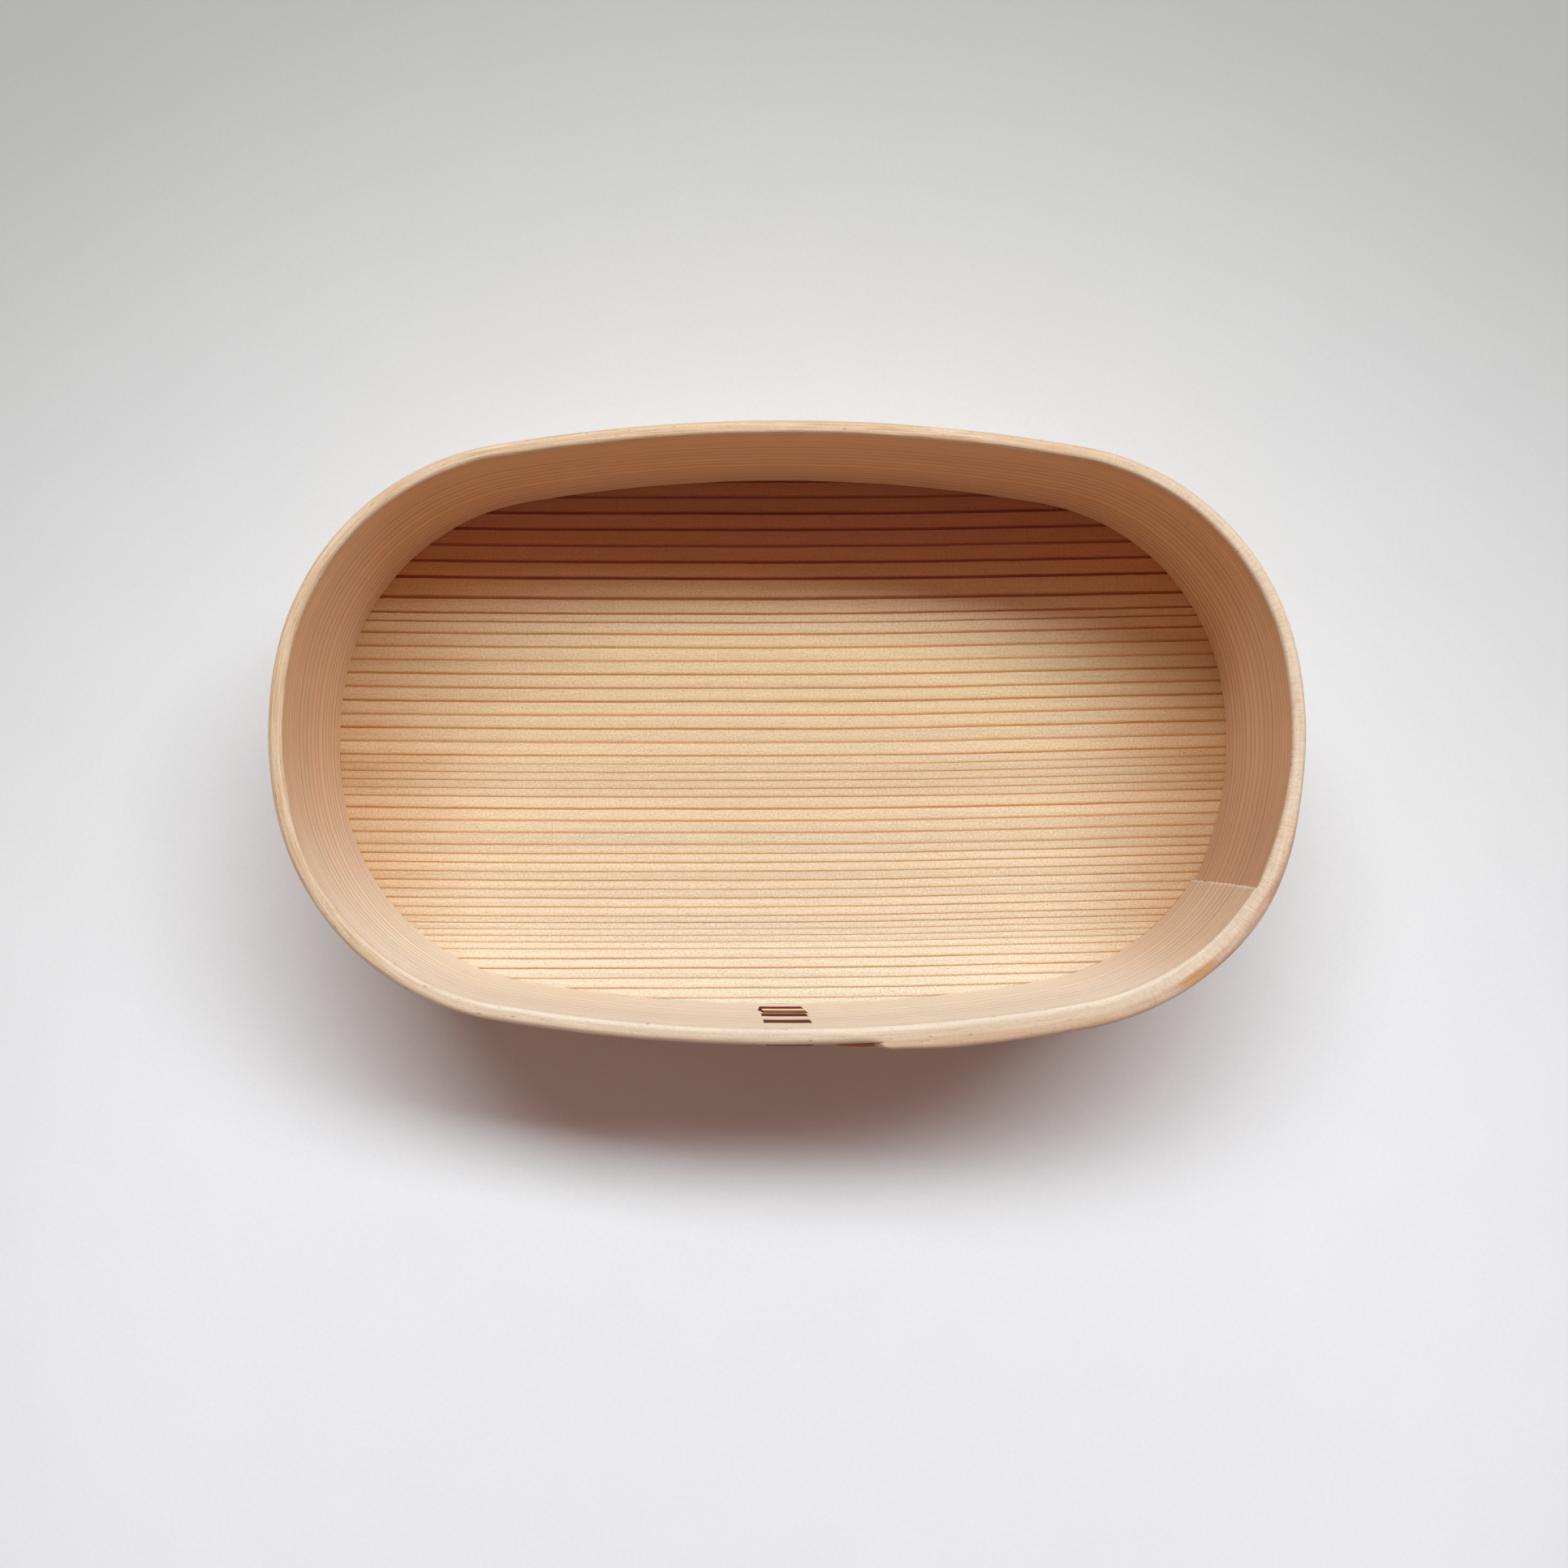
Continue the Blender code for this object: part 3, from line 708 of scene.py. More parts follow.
        wear = self.rim_wear * (0.5 + 0.5 * ripple(place, (0.083, 0.047, 0.029, 0.013), 3))
        out = np.where(outside, 1.0 - inset_share * self.outer_round_share,
                       inset_share * self.inner_round_share)
        rounded = place + self.nose_setback * out**2 * past_nose_run
        top = lap.height - wear - np.where(second, lap.top_drop(rounded), 0.0)
        under = ~second * (1.0 - past_nose)
        over = second * ease(place, lap.inner_end - self.station_step, lap.inner_end)
        scarf = lap.inner_end + lap.scarf_from_end
        in_lap = ~second * (ease(place, scarf, scarf + lap.feather_fade)
                            * (1.0 - ease(place, lap.nose, lap.middle)))
        hand = 1.0 + self.round_unevenness * ripple(place, (0.061, 0.027, 0.011), 7)
        wanted_top = np.where(outside, mix(self.rim_round_out, self.tongue_round,
                                           second * past_nose),
                              mix(self.rim_round_in, self.lap_round_in, in_lap)) * hand
        limit = np.where(outside, self.outer_round_share, self.inner_round_share) * (outer - inner)
        round_top = np.minimum(wanted_top, limit)
        round_foot = np.minimum(self.foot_round, limit)
        keep = 1.0 - np.where(outside, under, over)

        offset = np.where(outside, outer, inner) + np.where(outside, -1.0, 1.0) * inset_share * (
            mix(round_foot, round_top, level))
        height = mix(round_foot * keep, top - round_top * keep, level)
        height = height + (1.0 - depth_share) * keep * (
            round_top * level - round_foot * (1.0 - level))
        points = lap.oval.points(place, offset, height)
        along = np.broadcast_to(run, height.shape)
        depth = offset - np.where(second, lap.climb(place), 0.0)
        radius = lap.oval.perimeter / (2.0 * math.pi)
        circle = radius * np.stack([np.cos(place / radius), np.sin(place / radius)], axis=-1)
        return (points, np.stack([along, height], axis=-1), np.stack([depth, offset], axis=-1),
                np.broadcast_to(circle, (*height.shape, 2)))

    def build(self, cutters: Sequence[bpy.types.Object],
              material: bpy.types.Material) -> bpy.types.Object:
        """Build the band, with the lacing's slits and beds cut from it.

        Args:
            cutters: The solids to cut away.
            material: The finish.

        Returns:
            The piece.
        """
        points, face, depth, circle = self.surface()
        mesh = skin("cedar_band", points,
                    {STRIP_FACE: face, STRIP_DEPTH: depth, RIM_CIRCLE: circle})
        cut = cut_away(mesh, cutters)
        return show("cedar_band", cut, material, "side_band")


def cut_away(mesh: bpy.types.Mesh, cutters: Sequence[bpy.types.Object]) -> bpy.types.Mesh:
    """Cut solids from a mesh, and remove them.

    Args:
        mesh: The mesh to cut.
        cutters: The solids.

    Returns:
        The cut mesh.
    """
    holder = bpy.data.objects.new("uncut", mesh)
    bpy.context.scene.collection.objects.link(holder)
    tools = bpy.data.collections.new("cutters")
    bpy.context.scene.collection.children.link(tools)
    for cutter in cutters:
        tools.objects.link(cutter)
    modifier = holder.modifiers.new("lacing_cuts", "BOOLEAN")
    modifier.operation = "DIFFERENCE"
    modifier.solver = "EXACT"
    modifier.operand_type = "COLLECTION"
    modifier.collection = tools
    evaluated = holder.evaluated_get(bpy.context.evaluated_depsgraph_get())
    cut = bpy.data.meshes.new_from_object(evaluated)
    cut.name = mesh.name
    for thing in (holder, *cutters):
        bpy.data.objects.remove(thing, do_unlink=True)
    bpy.data.collections.remove(tools)
    return cut


@dataclass(frozen=True)
class BottomBoard:
    """The edge-grain board inside the band.

    The face rows are how far in from the edge its flat faces have rows of points.
    """

    lap: Lap
    thickness: float = 0.0040
    recess: float = 0.0010
    fit: float = 0.00001
    fit_run: float = 0.0003
    fine_step: float = 0.0001
    eased_edge: float = 0.00008
    edge_segments: int = 3
    face_rows: tuple[float, ...] = (0.0120, 0.0040, 0.0012)
    station_step: float = 0.0012

    def outline(self, place: Array) -> Array:
        """Give the wall's inner face at the board, eased into the step at the inner end."""
        top_share = (self.recess + self.thickness) / self.lap.height
        step = self.lap.inner_end + self.lap.inner_end_slant * (1.0 - top_share)
        lining = ease(place, step - self.fit_run, step)
        return mix(self.lap.contact(place), self.lap.lining(place, np.asarray(0.0)), lining)

    def build(self, material: bpy.types.Material) -> bpy.types.Object:
        """Build the board: its edge's profile, carried round the outline and capped flat.

        Args:
            material: The finish.

        Returns:
            The piece.
        """
        place = spaced(0.0, self.lap.oval.perimeter, self.station_step)[:-1]
        near = self.lap.inner_end + spaced(-self.station_step, self.station_step, self.fine_step)
        place = np.union1d(place, near)
        face = self.outline(place) - self.fit
        turn = np.linspace(0.0, math.pi / 2, self.edge_segments + 1)
        in_up = self.eased_edge * (1.0 - np.sin(turn))
        rise = self.eased_edge * (1.0 - np.cos(turn))
        rows = np.array(self.face_rows)
        inset = np.concatenate([rows, in_up, in_up[::-1], rows[::-1]])
        height = np.concatenate([np.zeros_like(rows), rise, self.thickness - rise[::-1],
                                 np.full_like(rows, self.thickness)])
        grid = self.lap.oval.points(np.broadcast_to(place, (len(inset), len(place))),
                                    face[None, :] - inset[:, None],
                                    self.recess + height[:, None])
        mesh = skin("cedar_board", grid, {BOARD_FACE: grid[..., :2]})
        return show("cedar_board", mesh, material, "bottom_board")


@dataclass(frozen=True)
class BarkTape:
    """The cherry bark tape that winds through the lap: seven rungs, outside and inside by turns.

    A row of its route holds place, offset, depth below the rim, the two parts of the tape's own
    normal, how far it leans clockwise for each length down, and how far its foot is lifted.
    """

    lap: Lap
    tape_height: float = 0.0050
    thickness: float = 0.00035
    edge: float = 0.0004
    clearance: float = 0.00005
    outer_gap: float = 0.00025
    proud: float = 0.0001
    bed_clearance: float = 0.00008
    rung_length: float = 0.0087
    depths: tuple[float, ...] = (0.0067, 0.0123, 0.0179, 0.0235, 0.0267, 0.0299, 0.0355)
    lifted: int = 5
    lift: float = 0.0007
    slant: float = 0.0009
    lean: float = 0.031
    past_middle: float = 0.0003
    tail_depth: float = 0.0012
    overrun: float = 0.0015
    waviness: float = 0.00005
    corner_segments: int = 6
    rung_segments: int = 16
    passage_segments: int = 3

    @property
    def bend(self) -> float:
        """Give the radius of the tape's middle where it turns into a slit."""
        return self.thickness / 2 + self.clearance

    def is_outer(self, rung: int) -> bool:
        """Tell whether a rung lies on the outside of the box."""
        return rung % 2 == 0

    def slope(self, rung: int) -> float:
        """Give how far a rung leans clockwise for each length that it goes down."""
        return self.lean + (self.slant / self.tape_height if rung == self.lifted else 0.0)

    def centre(self, depth: float) -> float:
        """Give the place of the column's middle, which leans a little on its way down."""
        return self.lap.middle + self.past_middle + self.lean * (depth - self.depths[1])

    def slit_place(self, rung: int, far: bool) -> float:
        """Give the place of a rung's slit: far is the end that the outer rungs run to."""
        return self.centre(self.depths[rung]) + self.rung_length * (0.5 if far else -0.5)

    def offset(self, rung: int, place: Array) -> Array:
        """Give the offset of the tape's middle on a rung.

        Args:
            rung: The rung's number from the rim down.
            place: Places along the oval.

        Returns:
            Offsets from the oval.
        """
        place = np.asarray(place, dtype=float)
        if not self.is_outer(rung):
            return -self.lap.wall(place) - self.proud + self.thickness / 2
        on_tongue = self.depths[rung] > self.lap.tongue_drop
        face = self.lap.outer(place) if on_tongue else np.zeros_like(place)
        return face + self.outer_gap + self.thickness / 2

    def corner(self, rung: int, leaving: bool) -> Array:
        """Give the quarter turn between a rung and its slit, in the order that the tape runs.

        Args:
            rung: The rung's number from the rim down.
            leaving: Whether the tape leaves the rung there.

        Returns:
            Rows of the route.
        """
        far = self.is_outer(rung) == leaving
        slit = self.slit_place(rung, far)
        along = -1.0 if far else 1.0
        inward = -1.0 if self.is_outer(rung) else 1.0
        turn = np.linspace(0.0, math.pi / 2, self.corner_segments + 1)
        if not leaving:
            turn = turn[::-1]
        lift = (self.lift if rung == self.lifted else 0.0) * np.cos(turn)
        return np.stack([
            slit + along * self.bend * (1.0 - np.sin(turn)),
            self.offset(rung, slit) + inward * self.bend * (1.0 - np.cos(turn)),
            np.full_like(turn, self.depths[rung]),
            -along * np.sin(turn),
            -inward * np.cos(turn),
            np.full_like(turn, self.slope(rung)),
            lift,
        ], axis=-1)

    def straight(self, start: Array, end: Array, segments: int) -> Array:
        """Divide the straight stretch between two rows, without the rows themselves."""
        return mix(start[None, :], end[None, :], np.linspace(0.0, 1.0, segments + 1)[1:-1, None])

    def route(self) -> Array:
        """Join tails, bends, rungs and passages into the tape's whole route.

        Returns:
            Rows of the route.
        """
        rows = []
        last = len(self.depths) - 1
        for rung in range(last + 1):
            coming, leaving = self.corner(rung, False), self.corner(rung, True)
            middle = self.straight(coming[-1], leaving[0], self.rung_segments)
            middle[:, 1] = self.offset(rung, middle[:, 0])
            rows += [coming, middle, leaving]
            if rung < last:
                rows.append(self.straight(leaving[-1], self.corner(rung + 1, False)[0],
                                          self.passage_segments))
        tails = [rows[0][:1].copy(), rows[-1][-1:].copy()]
        for tail in tails:
            tail[0, 1] = -self.tail_depth
        return np.concatenate([tails[0], *rows, tails[1]])

    def sweep(self) -> tuple[Array, Array, Array]:
        """Carry the tape's flat section, with its thin edges, along the route.

        Returns:
            The points; each point's distance along the tape and up it; and its share of the
            lifted rung's lift.
        """
        half, edge = self.tape_height / 2, self.tape_height / 2 - self.edge
        up_one_side = np.array([-half, -edge, -edge / 2, 0.0, edge / 2, edge, half])
        thin, full = self.thickness / 5, self.thickness / 2
        side = np.array([thin, full, full, full, full, full, thin])
        upward = np.concatenate([up_one_side, up_one_side[::-1]])[None, :]
        across = np.concatenate([-side, side[::-1]])[None, :]
        place, offset, depth, normal_place, normal_offset, slope, lift = (
            column[:, None] for column in self.route().T)
        steps = np.hypot(np.diff(place[:, 0]), np.diff(offset[:, 0]))
        steps = np.hypot(steps, np.diff(depth[:, 0]))
        along = np.concatenate([[0.0], np.cumsum(steps)])[:, None]
        worn = self.waviness * ripple(along, (0.0093, 0.0041, 0.0017), 23)
        upward_worn = upward + worn * np.sign(upward)
        where = place + normal_place * across - slope * upward
        out = offset + normal_offset * across - lift * (0.5 - upward / self.tape_height)
        points = self.lap.oval.points(where, out, self.lap.height - depth + upward_worn)
        lifted = np.broadcast_arrays(lift / self.lift, upward)[0]
        return (points, np.stack(np.broadcast_arrays(along, upward), axis=-1),
                np.stack([lifted, lifted], axis=-1))

    def mouth(self, rung: int, far: bool) -> Array:
        """Give a slit's mouth where the bend ends: place, offset, depth and lean."""
        place = self.slit_place(rung, far)
        inward = -1.0 if self.is_outer(rung) else 1.0
        offset = self.offset(rung, place) + inward * self.bend
        return np.array([place, offset, self.depths[rung], self.slope(rung)])

    def cutter(self, name: str, start: Array, end: Array, width: float,
               clearance: float) -> bpy.types.Object:
        """Bend a block between two mouths, a little taller than the tape.

        Args:
            name: The cutter's name.
            start: One mouth.
            end: The other.
            width: The block's width along the oval.
            clearance: How far it reaches above and below the tape.

        Returns:
            The cutter, in no collection.
        """
        height = self.tape_height + 2.0 * clearance
        corner_x = np.array([-0.5, 0.5, 0.5, -0.5])[None, :]
        corner_z = np.array([-0.5, -0.5, 0.5, 0.5])[None, :] * height
        share = np.linspace(0.0, 1.0, self.passage_segments + 1)[:, None, None]
        place, offset, depth, slope = np.moveaxis(mix(start, end, share), -1, 0)
        grid = self.lap.oval.points(place + corner_x * width - slope * corner_z,
                                    np.broadcast_to(offset, (len(share), 4)),
                                    self.lap.height - depth + corner_z)
        return bpy.data.objects.new(name, skin(name, grid, {}))

    def cutters(self) -> list[bpy.types.Object]:
        """Make the through slits, the two blind slits and the beds of the inner rungs.

        Returns:
            The cutters.
        """
        made = []
        last = len(self.depths) - 1
        slit_width = self.thickness + 2.0 * self.clearance
        for rung in range(last):
            far = self.is_outer(rung)
            start, end = self.mouth(rung, far), self.mouth(rung + 1, far)
            past = (end - start) * (self.overrun / abs(end[1] - start[1]))
            made.append(self.cutter(f"slit_{rung + 1}", start - past, end + past, slit_width,
                                    self.clearance))
        for rung, far in ((0, False), (last, True)):
            start = self.mouth(rung, far)
            end = start.copy()
            start[1] += self.overrun
            end[1] = -self.tail_depth - self.clearance
            made.append(self.cutter(f"tail_{rung}", start, end, slit_width, self.clearance))
        for rung in range(1, last, 2):
            place = self.centre(self.depths[rung])
            floor = float(self.offset(rung, place)) + self.bend
            start = np.array([place, floor, self.depths[rung], self.slope(rung)])
            end = start - np.array([0.0, self.bend + self.overrun, 0.0, 0.0])
            made.append(self.cutter(f"bed_{rung}", start, end, self.rung_length + slit_width,
                                    self.bed_clearance))
        return made

    def build(self, material: bpy.types.Material) -> bpy.types.Object:
        """Build the tape.

        Args:
            material: The finish.

        Returns:
            The piece.
        """
        points, face, lifted = self.sweep()
        mesh = skin("bark_tape", points, {TAPE_FACE: face, TAPE_LIFT: lifted})
        return show("bark_tape", mesh, material, "bark_lacing")


@dataclass(frozen=True)
class Streaks:
    """Noise with a size of its own along the grain, across it and in depth."""

    sizes_mm: tuple[float, float, float]
    seed: float
    detail: float = 2.0
    roughness: float = 0.6

    def add(self, tree: bpy.types.NodeTree, place: bpy.types.Node) -> bpy.types.Node:
        """Add the noise at a place in millimetres; the seed moves it."""
        scaled = add_node(tree, MAPPING,
                          {"Scale": [1.0 / size for size in self.sizes_mm],
                           "Location": (self.seed, self.seed * 0.7, self.seed * 1.3)}, {0: place})
        return add_node(tree, NOISE, {"Scale": 1.0, "Detail": self.detail,
                                      "Roughness": self.roughness}, {"Vector": scaled})


@dataclass(frozen=True)
class EdgeGrainCedar:
    """Japanese cedar sawn across its rings and planed, left bare.

    The eye sees pale early wood, thin dark late-wood lines with one sharp side, a short silky
    fuzz from the plane, and hardly any gloss. Noise sizes are millimetres along the grain,
    across it and in depth; the fuzz is drawn as coarse as it needs to show.
    """

    name: str
    early: str
    shade: str
    line: str
    warm: str
    rings: Knots
    late_stops: Stops
    fuzz_tone: float
    blotch_tone: float
    fibre_tone: float
    bow: Knots = ()
    tilt: float = 0.0
    wander_mm: float = 0.5
    jitter_mm: float = 0.16
    line_strength: tuple[float, float] = (0.6, 1.0)
    soft_stops: Stops = ((0.0, 0.25), (0.05, 0.0), (0.45, 0.12), (0.85, 0.75), (1.0, 1.0))
    soft_strength: float = 0.5
    line_shift: float = 0.955
    tone_shift: float = 17.3
    ring_tone: float = 0.10
    grain_tone: float = 0.30
    wander: Streaks = Streaks((70.0, 16.0, 30.0), 3.0)
    jitter: Streaks = Streaks((6.0, 1.5, 2.0), 9.0)
    patches: Streaks = Streaks((28.0, 2.0, 2.0), 5.0)
    drift: Streaks = Streaks((60.0, 14.0, 20.0), 12.0)
    grain: Streaks = Streaks((45.0, 0.55, 0.8), 21.0, 3.0)
    fibre: Streaks = Streaks((7.0, 0.22, 0.3), 27.0)
    fuzz: Streaks = Streaks((0.442, 0.34, 0.34), 31.0)
    blotch: Streaks = Streaks((3.6, 0.8, 0.8), 35.0)
    pores: Streaks = Streaks((1.8, 0.28, 0.3), 41.0, 1.0)
    fuzz_relief_mm: float = 0.05
    grain_relief_mm: float = 0.04
    line_relief_mm: float = 0.02
    patch_span: Span = (0.3, 0.7, 0.75)
    warm_span: Span = (0.42, 0.72, 0.0, 0.8)
    pore_span: Span = (0.70, 0.78, 0.0, 0.6)
    roughness: Span = (0.3, 0.7, 0.53, 0.66)
    relief_strength: float = 0.7
    grain_map: str = STRIP_FACE
    specular: float = 0.25
    anisotropy: float = 0.85
    sheen: float = 0.30
    sheen_roughness: float = 0.6
    sheen_tint: str = "fff4e6"

    def where(self, tree: bpy.types.NodeTree) -> bpy.types.NodeSocket:
        """Give the place in the wood in metres: along the grain, across the rings, depth."""
        return add_node(tree, "ShaderNodeTexCoord").outputs["Object"]

    def local_colour(self, tree: bpy.types.NodeTree, place: bpy.types.Node,
                     parts: bpy.types.Node, late: bpy.types.Node,
                     colour: bpy.types.NodeSocket) -> bpy.types.NodeSocket:
        """Change the colour where the piece differs from plain wood; here it doesn't."""
        return colour

    def ring_phase(self, tree: bpy.types.NodeTree, place: bpy.types.Node,
                   parts: bpy.types.Node) -> bpy.types.Node:
        """Give the ring number, a whole number at each late-wood line.

        The distance across the rings is bent by the board's bow, by a slow wander and by a fine
        jitter, and a curve turns it into a number of rings.

        Args:
            tree: The material's tree.
            place: The place in the wood in millimetres.
            parts: The same, split.

        Returns:
            The node with the ring number.
        """
        across = weighted(tree, -self.wander_mm / 2,
                          (self.wander.add(tree, place), self.wander_mm),
                          (self.jitter.add(tree, place), self.jitter_mm),
                          (parts.outputs[2], self.tilt), (parts.outputs[1], 1.0))
        if self.bow:
            across = weighted(tree, across, (follow(tree, parts, self.bow, Bend.SMOOTH), -1.0))
        return follow(tree, across, self.rings, Bend.STRAIGHT)

    def ring_shares(self, tree: bpy.types.NodeTree, place: bpy.types.Node,
                    parts: bpy.types.Node, phase: bpy.types.Node) -> tuple[bpy.types.Node, ...]:
        """Turn the ring number into shares of late wood and of shade, and a tone per ring.

        Args:
            tree: The material's tree.
            place: The place in the wood in millimetres.
            parts: The same, split; not used here.
            phase: The ring number.

        Returns:
            The nodes with the late-wood share, the shade's share and the ring's own tone.
        """
        shifted = weighted(tree, self.line_shift, (phase, 1.0))
        within = add_node(tree, MATH, links={0: shifted}, operation="FRACT")
        number = add_node(tree, MATH, links={0: shifted}, operation="FLOOR")
        other = weighted(tree, self.tone_shift, (number, 1.0))
        chance, tone = (add_node(tree, WHITE_NOISE, links={"W": value}, noise_dimensions="1D")
                        for value in (number, other))
        late, soft = (set_stops(add_node(tree, RAMP, links={0: within}), stops)
                      for stops in (self.late_stops, self.soft_stops))
        least, most = self.line_strength
        strength = add_node(tree, RANGE, {3: least, 4: most}, {0: chance})
        patchy = add_node(tree, RANGE, span(self.patch_span),
                          {0: self.patches.add(tree, place)})
        return (product(tree, late, strength, patchy),
                weighted(tree, 0.0, (soft, self.soft_strength)), tone)

    def build(self) -> bpy.types.Material:
        """Build the finish.

        Returns:
            The material.
        """
        material, tree, shader = new_material(self.name)
        place = add_node(tree, VECTOR_MATH, {"Scale": MM_PER_M}, {0: self.where(tree)},
                         operation="SCALE")
        parts = add_node(tree, SPLIT, links={0: place})
        phase = self.ring_phase(tree, place, parts)
        late, soft, tone = self.ring_shares(tree, place, parts, phase)
        grain, fibre, fuzz, blotch = (
            noise.add(tree, place) for noise in (self.grain, self.fibre, self.fuzz, self.blotch))

        warm = add_node(tree, RANGE, span(self.warm_span), {0: self.drift.add(tree, place)})
        colour = tint(tree, self.early, self.warm, warm)
        colour = self.local_colour(tree, place, parts, late, colour)
        for share, code in ((soft, self.shade), (late, self.line)):
            colour = tint(tree, colour, code, share, blend="MULTIPLY")
        tones = ((tone, self.ring_tone), (grain, self.grain_tone), (fuzz, self.fuzz_tone),
                 (blotch, self.blotch_tone), (fibre, self.fibre_tone))
        value = weighted(tree, 1.0 - sum(size for _, size in tones) / 2, *tones)
        colour = add_node(tree, VECTOR_MATH, links={0: colour, "Scale": value},
                          operation="SCALE")
        pore = add_node(tree, RANGE, span(self.pore_span), {0: self.pores.add(tree, place)})
        colour = tint(tree, colour, self.line, pore, blend="MULTIPLY")

        rough = add_node(tree, RANGE, span(self.roughness), {0: fuzz})
        relief = weighted(tree, 0.0, (fuzz, self.fuzz_relief_mm), (grain, self.grain_relief_mm),
                          (late, self.line_relief_mm))
        bump = add_node(tree, BUMP, {"Distance": 1.0 / MM_PER_M,
                                     "Strength": self.relief_strength}, {"Height": relief})
        tangent = add_node(tree, "ShaderNodeTangent", direction_type="UV_MAP",
                           uv_map=self.grain_map)
        set_shader(shader, {"Base Color": colour, "Roughness": rough, "Normal": bump,
                            "Tangent": tangent, "Anisotropic": self.anisotropy,
                            "Anisotropic Rotation": QUARTER_TURN,
                            "Specular IOR Level": self.specular, "Sheen Weight": self.sheen,
                            "Sheen Roughness": self.sheen_roughness,
                            "Sheen Tint": linear_colour(self.sheen_tint)})
        return material


@dataclass(frozen=True)
class StripCedar(EdgeGrainCedar):
    """The bent strip's cedar: the grain follows the strip, and the rim is sanded by hand.

    The eye sees lines that run round the wall, a paler rim with short marks across it, pinkish
    heartwood along its outer edge, and a few brown flecks. The wall's inside is paler at the
    front, as painted light where the lamp lights it and its fibres shine, and redder at the back,
    as painted shade where it lies away from the lamp; the outside is darker. Pale marks over the
    lap at the right and along the front's inner edge are painted highlights. Spans are in
    millimetres where they read a place: along the strip, up it, on the rim's circle, or the offset
    from the oval.
    """

    outside: str = "c4966a"
    # back: painted shade, the redder inside of the back wall, which lies away from the lamp
    back: str = "dc9a62"
    # front: painted light, the paler inside of the front wall where the lamp lights it and its fibres
    # shine
    front: str = "f6e6d0"
    lap_pale: str = "dcc1a0"
    lap_dark: str = "b67b4a"
    torn: str = "f8e6d2"
    pared: str = "c08a60"
    rim_colour: str = "dbba98"
    front_rim: str = "e3caaf"
    # streak: the pale colour of the rim's painted highlights
    streak: str = "f4e8d8"
    amber: str = "d79a4e"
    pink: str = "bd8669"
    fleck: str = "8a5a38"
    inner_end_mm: float = 31.55
    once_round_mm: float = 508.6
    lit_front_left: Span = (262.0, 198.0)
    lit_front_right: Span = (34.0, 72.0, 0.0, 0.95)
    lit_front_depth: Span = (-0.9, -1.7)
    back_shade_span: Span = (-20.0, -60.0, 0.0, 0.35)
    outside_span: Span = (-0.9, -0.3, 0.0, 0.85)
    lap_dark_span: Span = (-34.0, -6.0, 0.0, 0.62)
    lap_pale_span: Span = (30.0, 4.0, 0.0, 0.7)
    torn_span: Span = (0.42, 0.08, 0.0, 0.85)
    pared_from: Span = (619.3, 619.7)
    pared_until: Span = (632.0, 629.0)
    ring_fade: Span = (26.0, 44.0, 1.0, 0.6)
    ring_loss_rim: float = 0.92
    ring_loss_pared: float = 0.6
    rim_height: Span = (48.6, 49.4)
    near_span: Span = (30.0, 70.0)
    dull_span: Span = (0.30, 0.60, 0.80)
    front_rim_span: Span = (0.2, -1.2, 0.20, 0.75)
    rim_streaks: tuple[tuple[Span, float, str], ...] = (
        ((0.46, 0.34), 0.60, "b68b62"), ((0.54, 0.68), 0.55, "f0e0cc"))
    streak_calm: Span = (35.0, 60.0, 1.0, 1.0 / 3.0)
    streak_loss_near: float = 0.7
    highlight_hatch_span: Span = (0.25, 0.90, 0.0, 0.72)
    highlight_right: Span = (45.0, 72.0)
    amber_span: Span = (1.0, 0.3, 0.0, 0.85)
    pink_offset: Span = (-0.9, 0.4)
    pink_heart: Span = (0.35, 0.60, 0.3, 0.9)
    pink_right: Span = (45.0, 72.0, 0.60)
    inner_edge_highlight_span: Span = (-1.7, -2.7, 0.0, 0.4)
    fleck_span: Span = (0.68, 0.76, 0.0, 0.6)
    amber_place: tuple[float, float, float] = (65.4, 47.4, 0.6)
    amber_size: tuple[float, float, float] = (6.5, 6.5, 1.3)
    hatch: Streaks = Streaks((0.30, 0.30, 2.4), 51.0)
    rim_grain: Streaks = Streaks((11.0, 11.0, 0.22), 66.0)
    heartwood: Streaks = Streaks((22.0, 22.0, 3.0), 61.0)
    flecks: Streaks = Streaks((2.2, 2.2, 0.45), 71.0)

    def where(self, tree: bpy.types.NodeTree) -> bpy.types.NodeSocket:
        """Give the place in the wood in metres, from the strip's own maps."""
        face, deep = (add_node(tree, SPLIT, links={0: add_node(tree, UV_MAP, uv_map=name)})
                      for name in (STRIP_FACE, STRIP_DEPTH))
        return add_node(tree, JOIN, links={0: face.outputs[0], 1: face.outputs[1],
                                           2: deep.outputs[0]}).outputs[0]

    def rim_place(self, tree: bpy.types.NodeTree) -> bpy.types.Node:
        """Give the place on the rim in millimetres, the same on both layers of the lap."""
        circle, deep = (add_node(tree, SPLIT, links={0: add_node(tree, UV_MAP, uv_map=name)})
                        for name in (RIM_CIRCLE, STRIP_DEPTH))
        joined = add_node(tree, JOIN, links={0: circle.outputs[0], 1: circle.outputs[1],
                                             2: deep.outputs[1]})
        return add_node(tree, VECTOR_MATH, {"Scale": MM_PER_M}, {0: joined}, operation="SCALE")

    def pared_share(self, tree: bpy.types.NodeTree, parts: bpy.types.Node) -> bpy.types.Node:
        """Give 1 where the outer end is pared down past the nose, fading towards its tip."""
        share = add_node(tree, RANGE, span(self.pared_until), {0: parts})
        return add_node(tree, RANGE, span(self.pared_from), {0: parts, 4: share})

    def rim_share(self, tree: bpy.types.NodeTree, parts: bpy.types.Node) -> bpy.types.Node:
        """Give 1 on the sanded rim and 0 on the walls."""
        return add_node(tree, RANGE, span(self.rim_height), {0: parts.outputs[1]}, **SMOOTH)

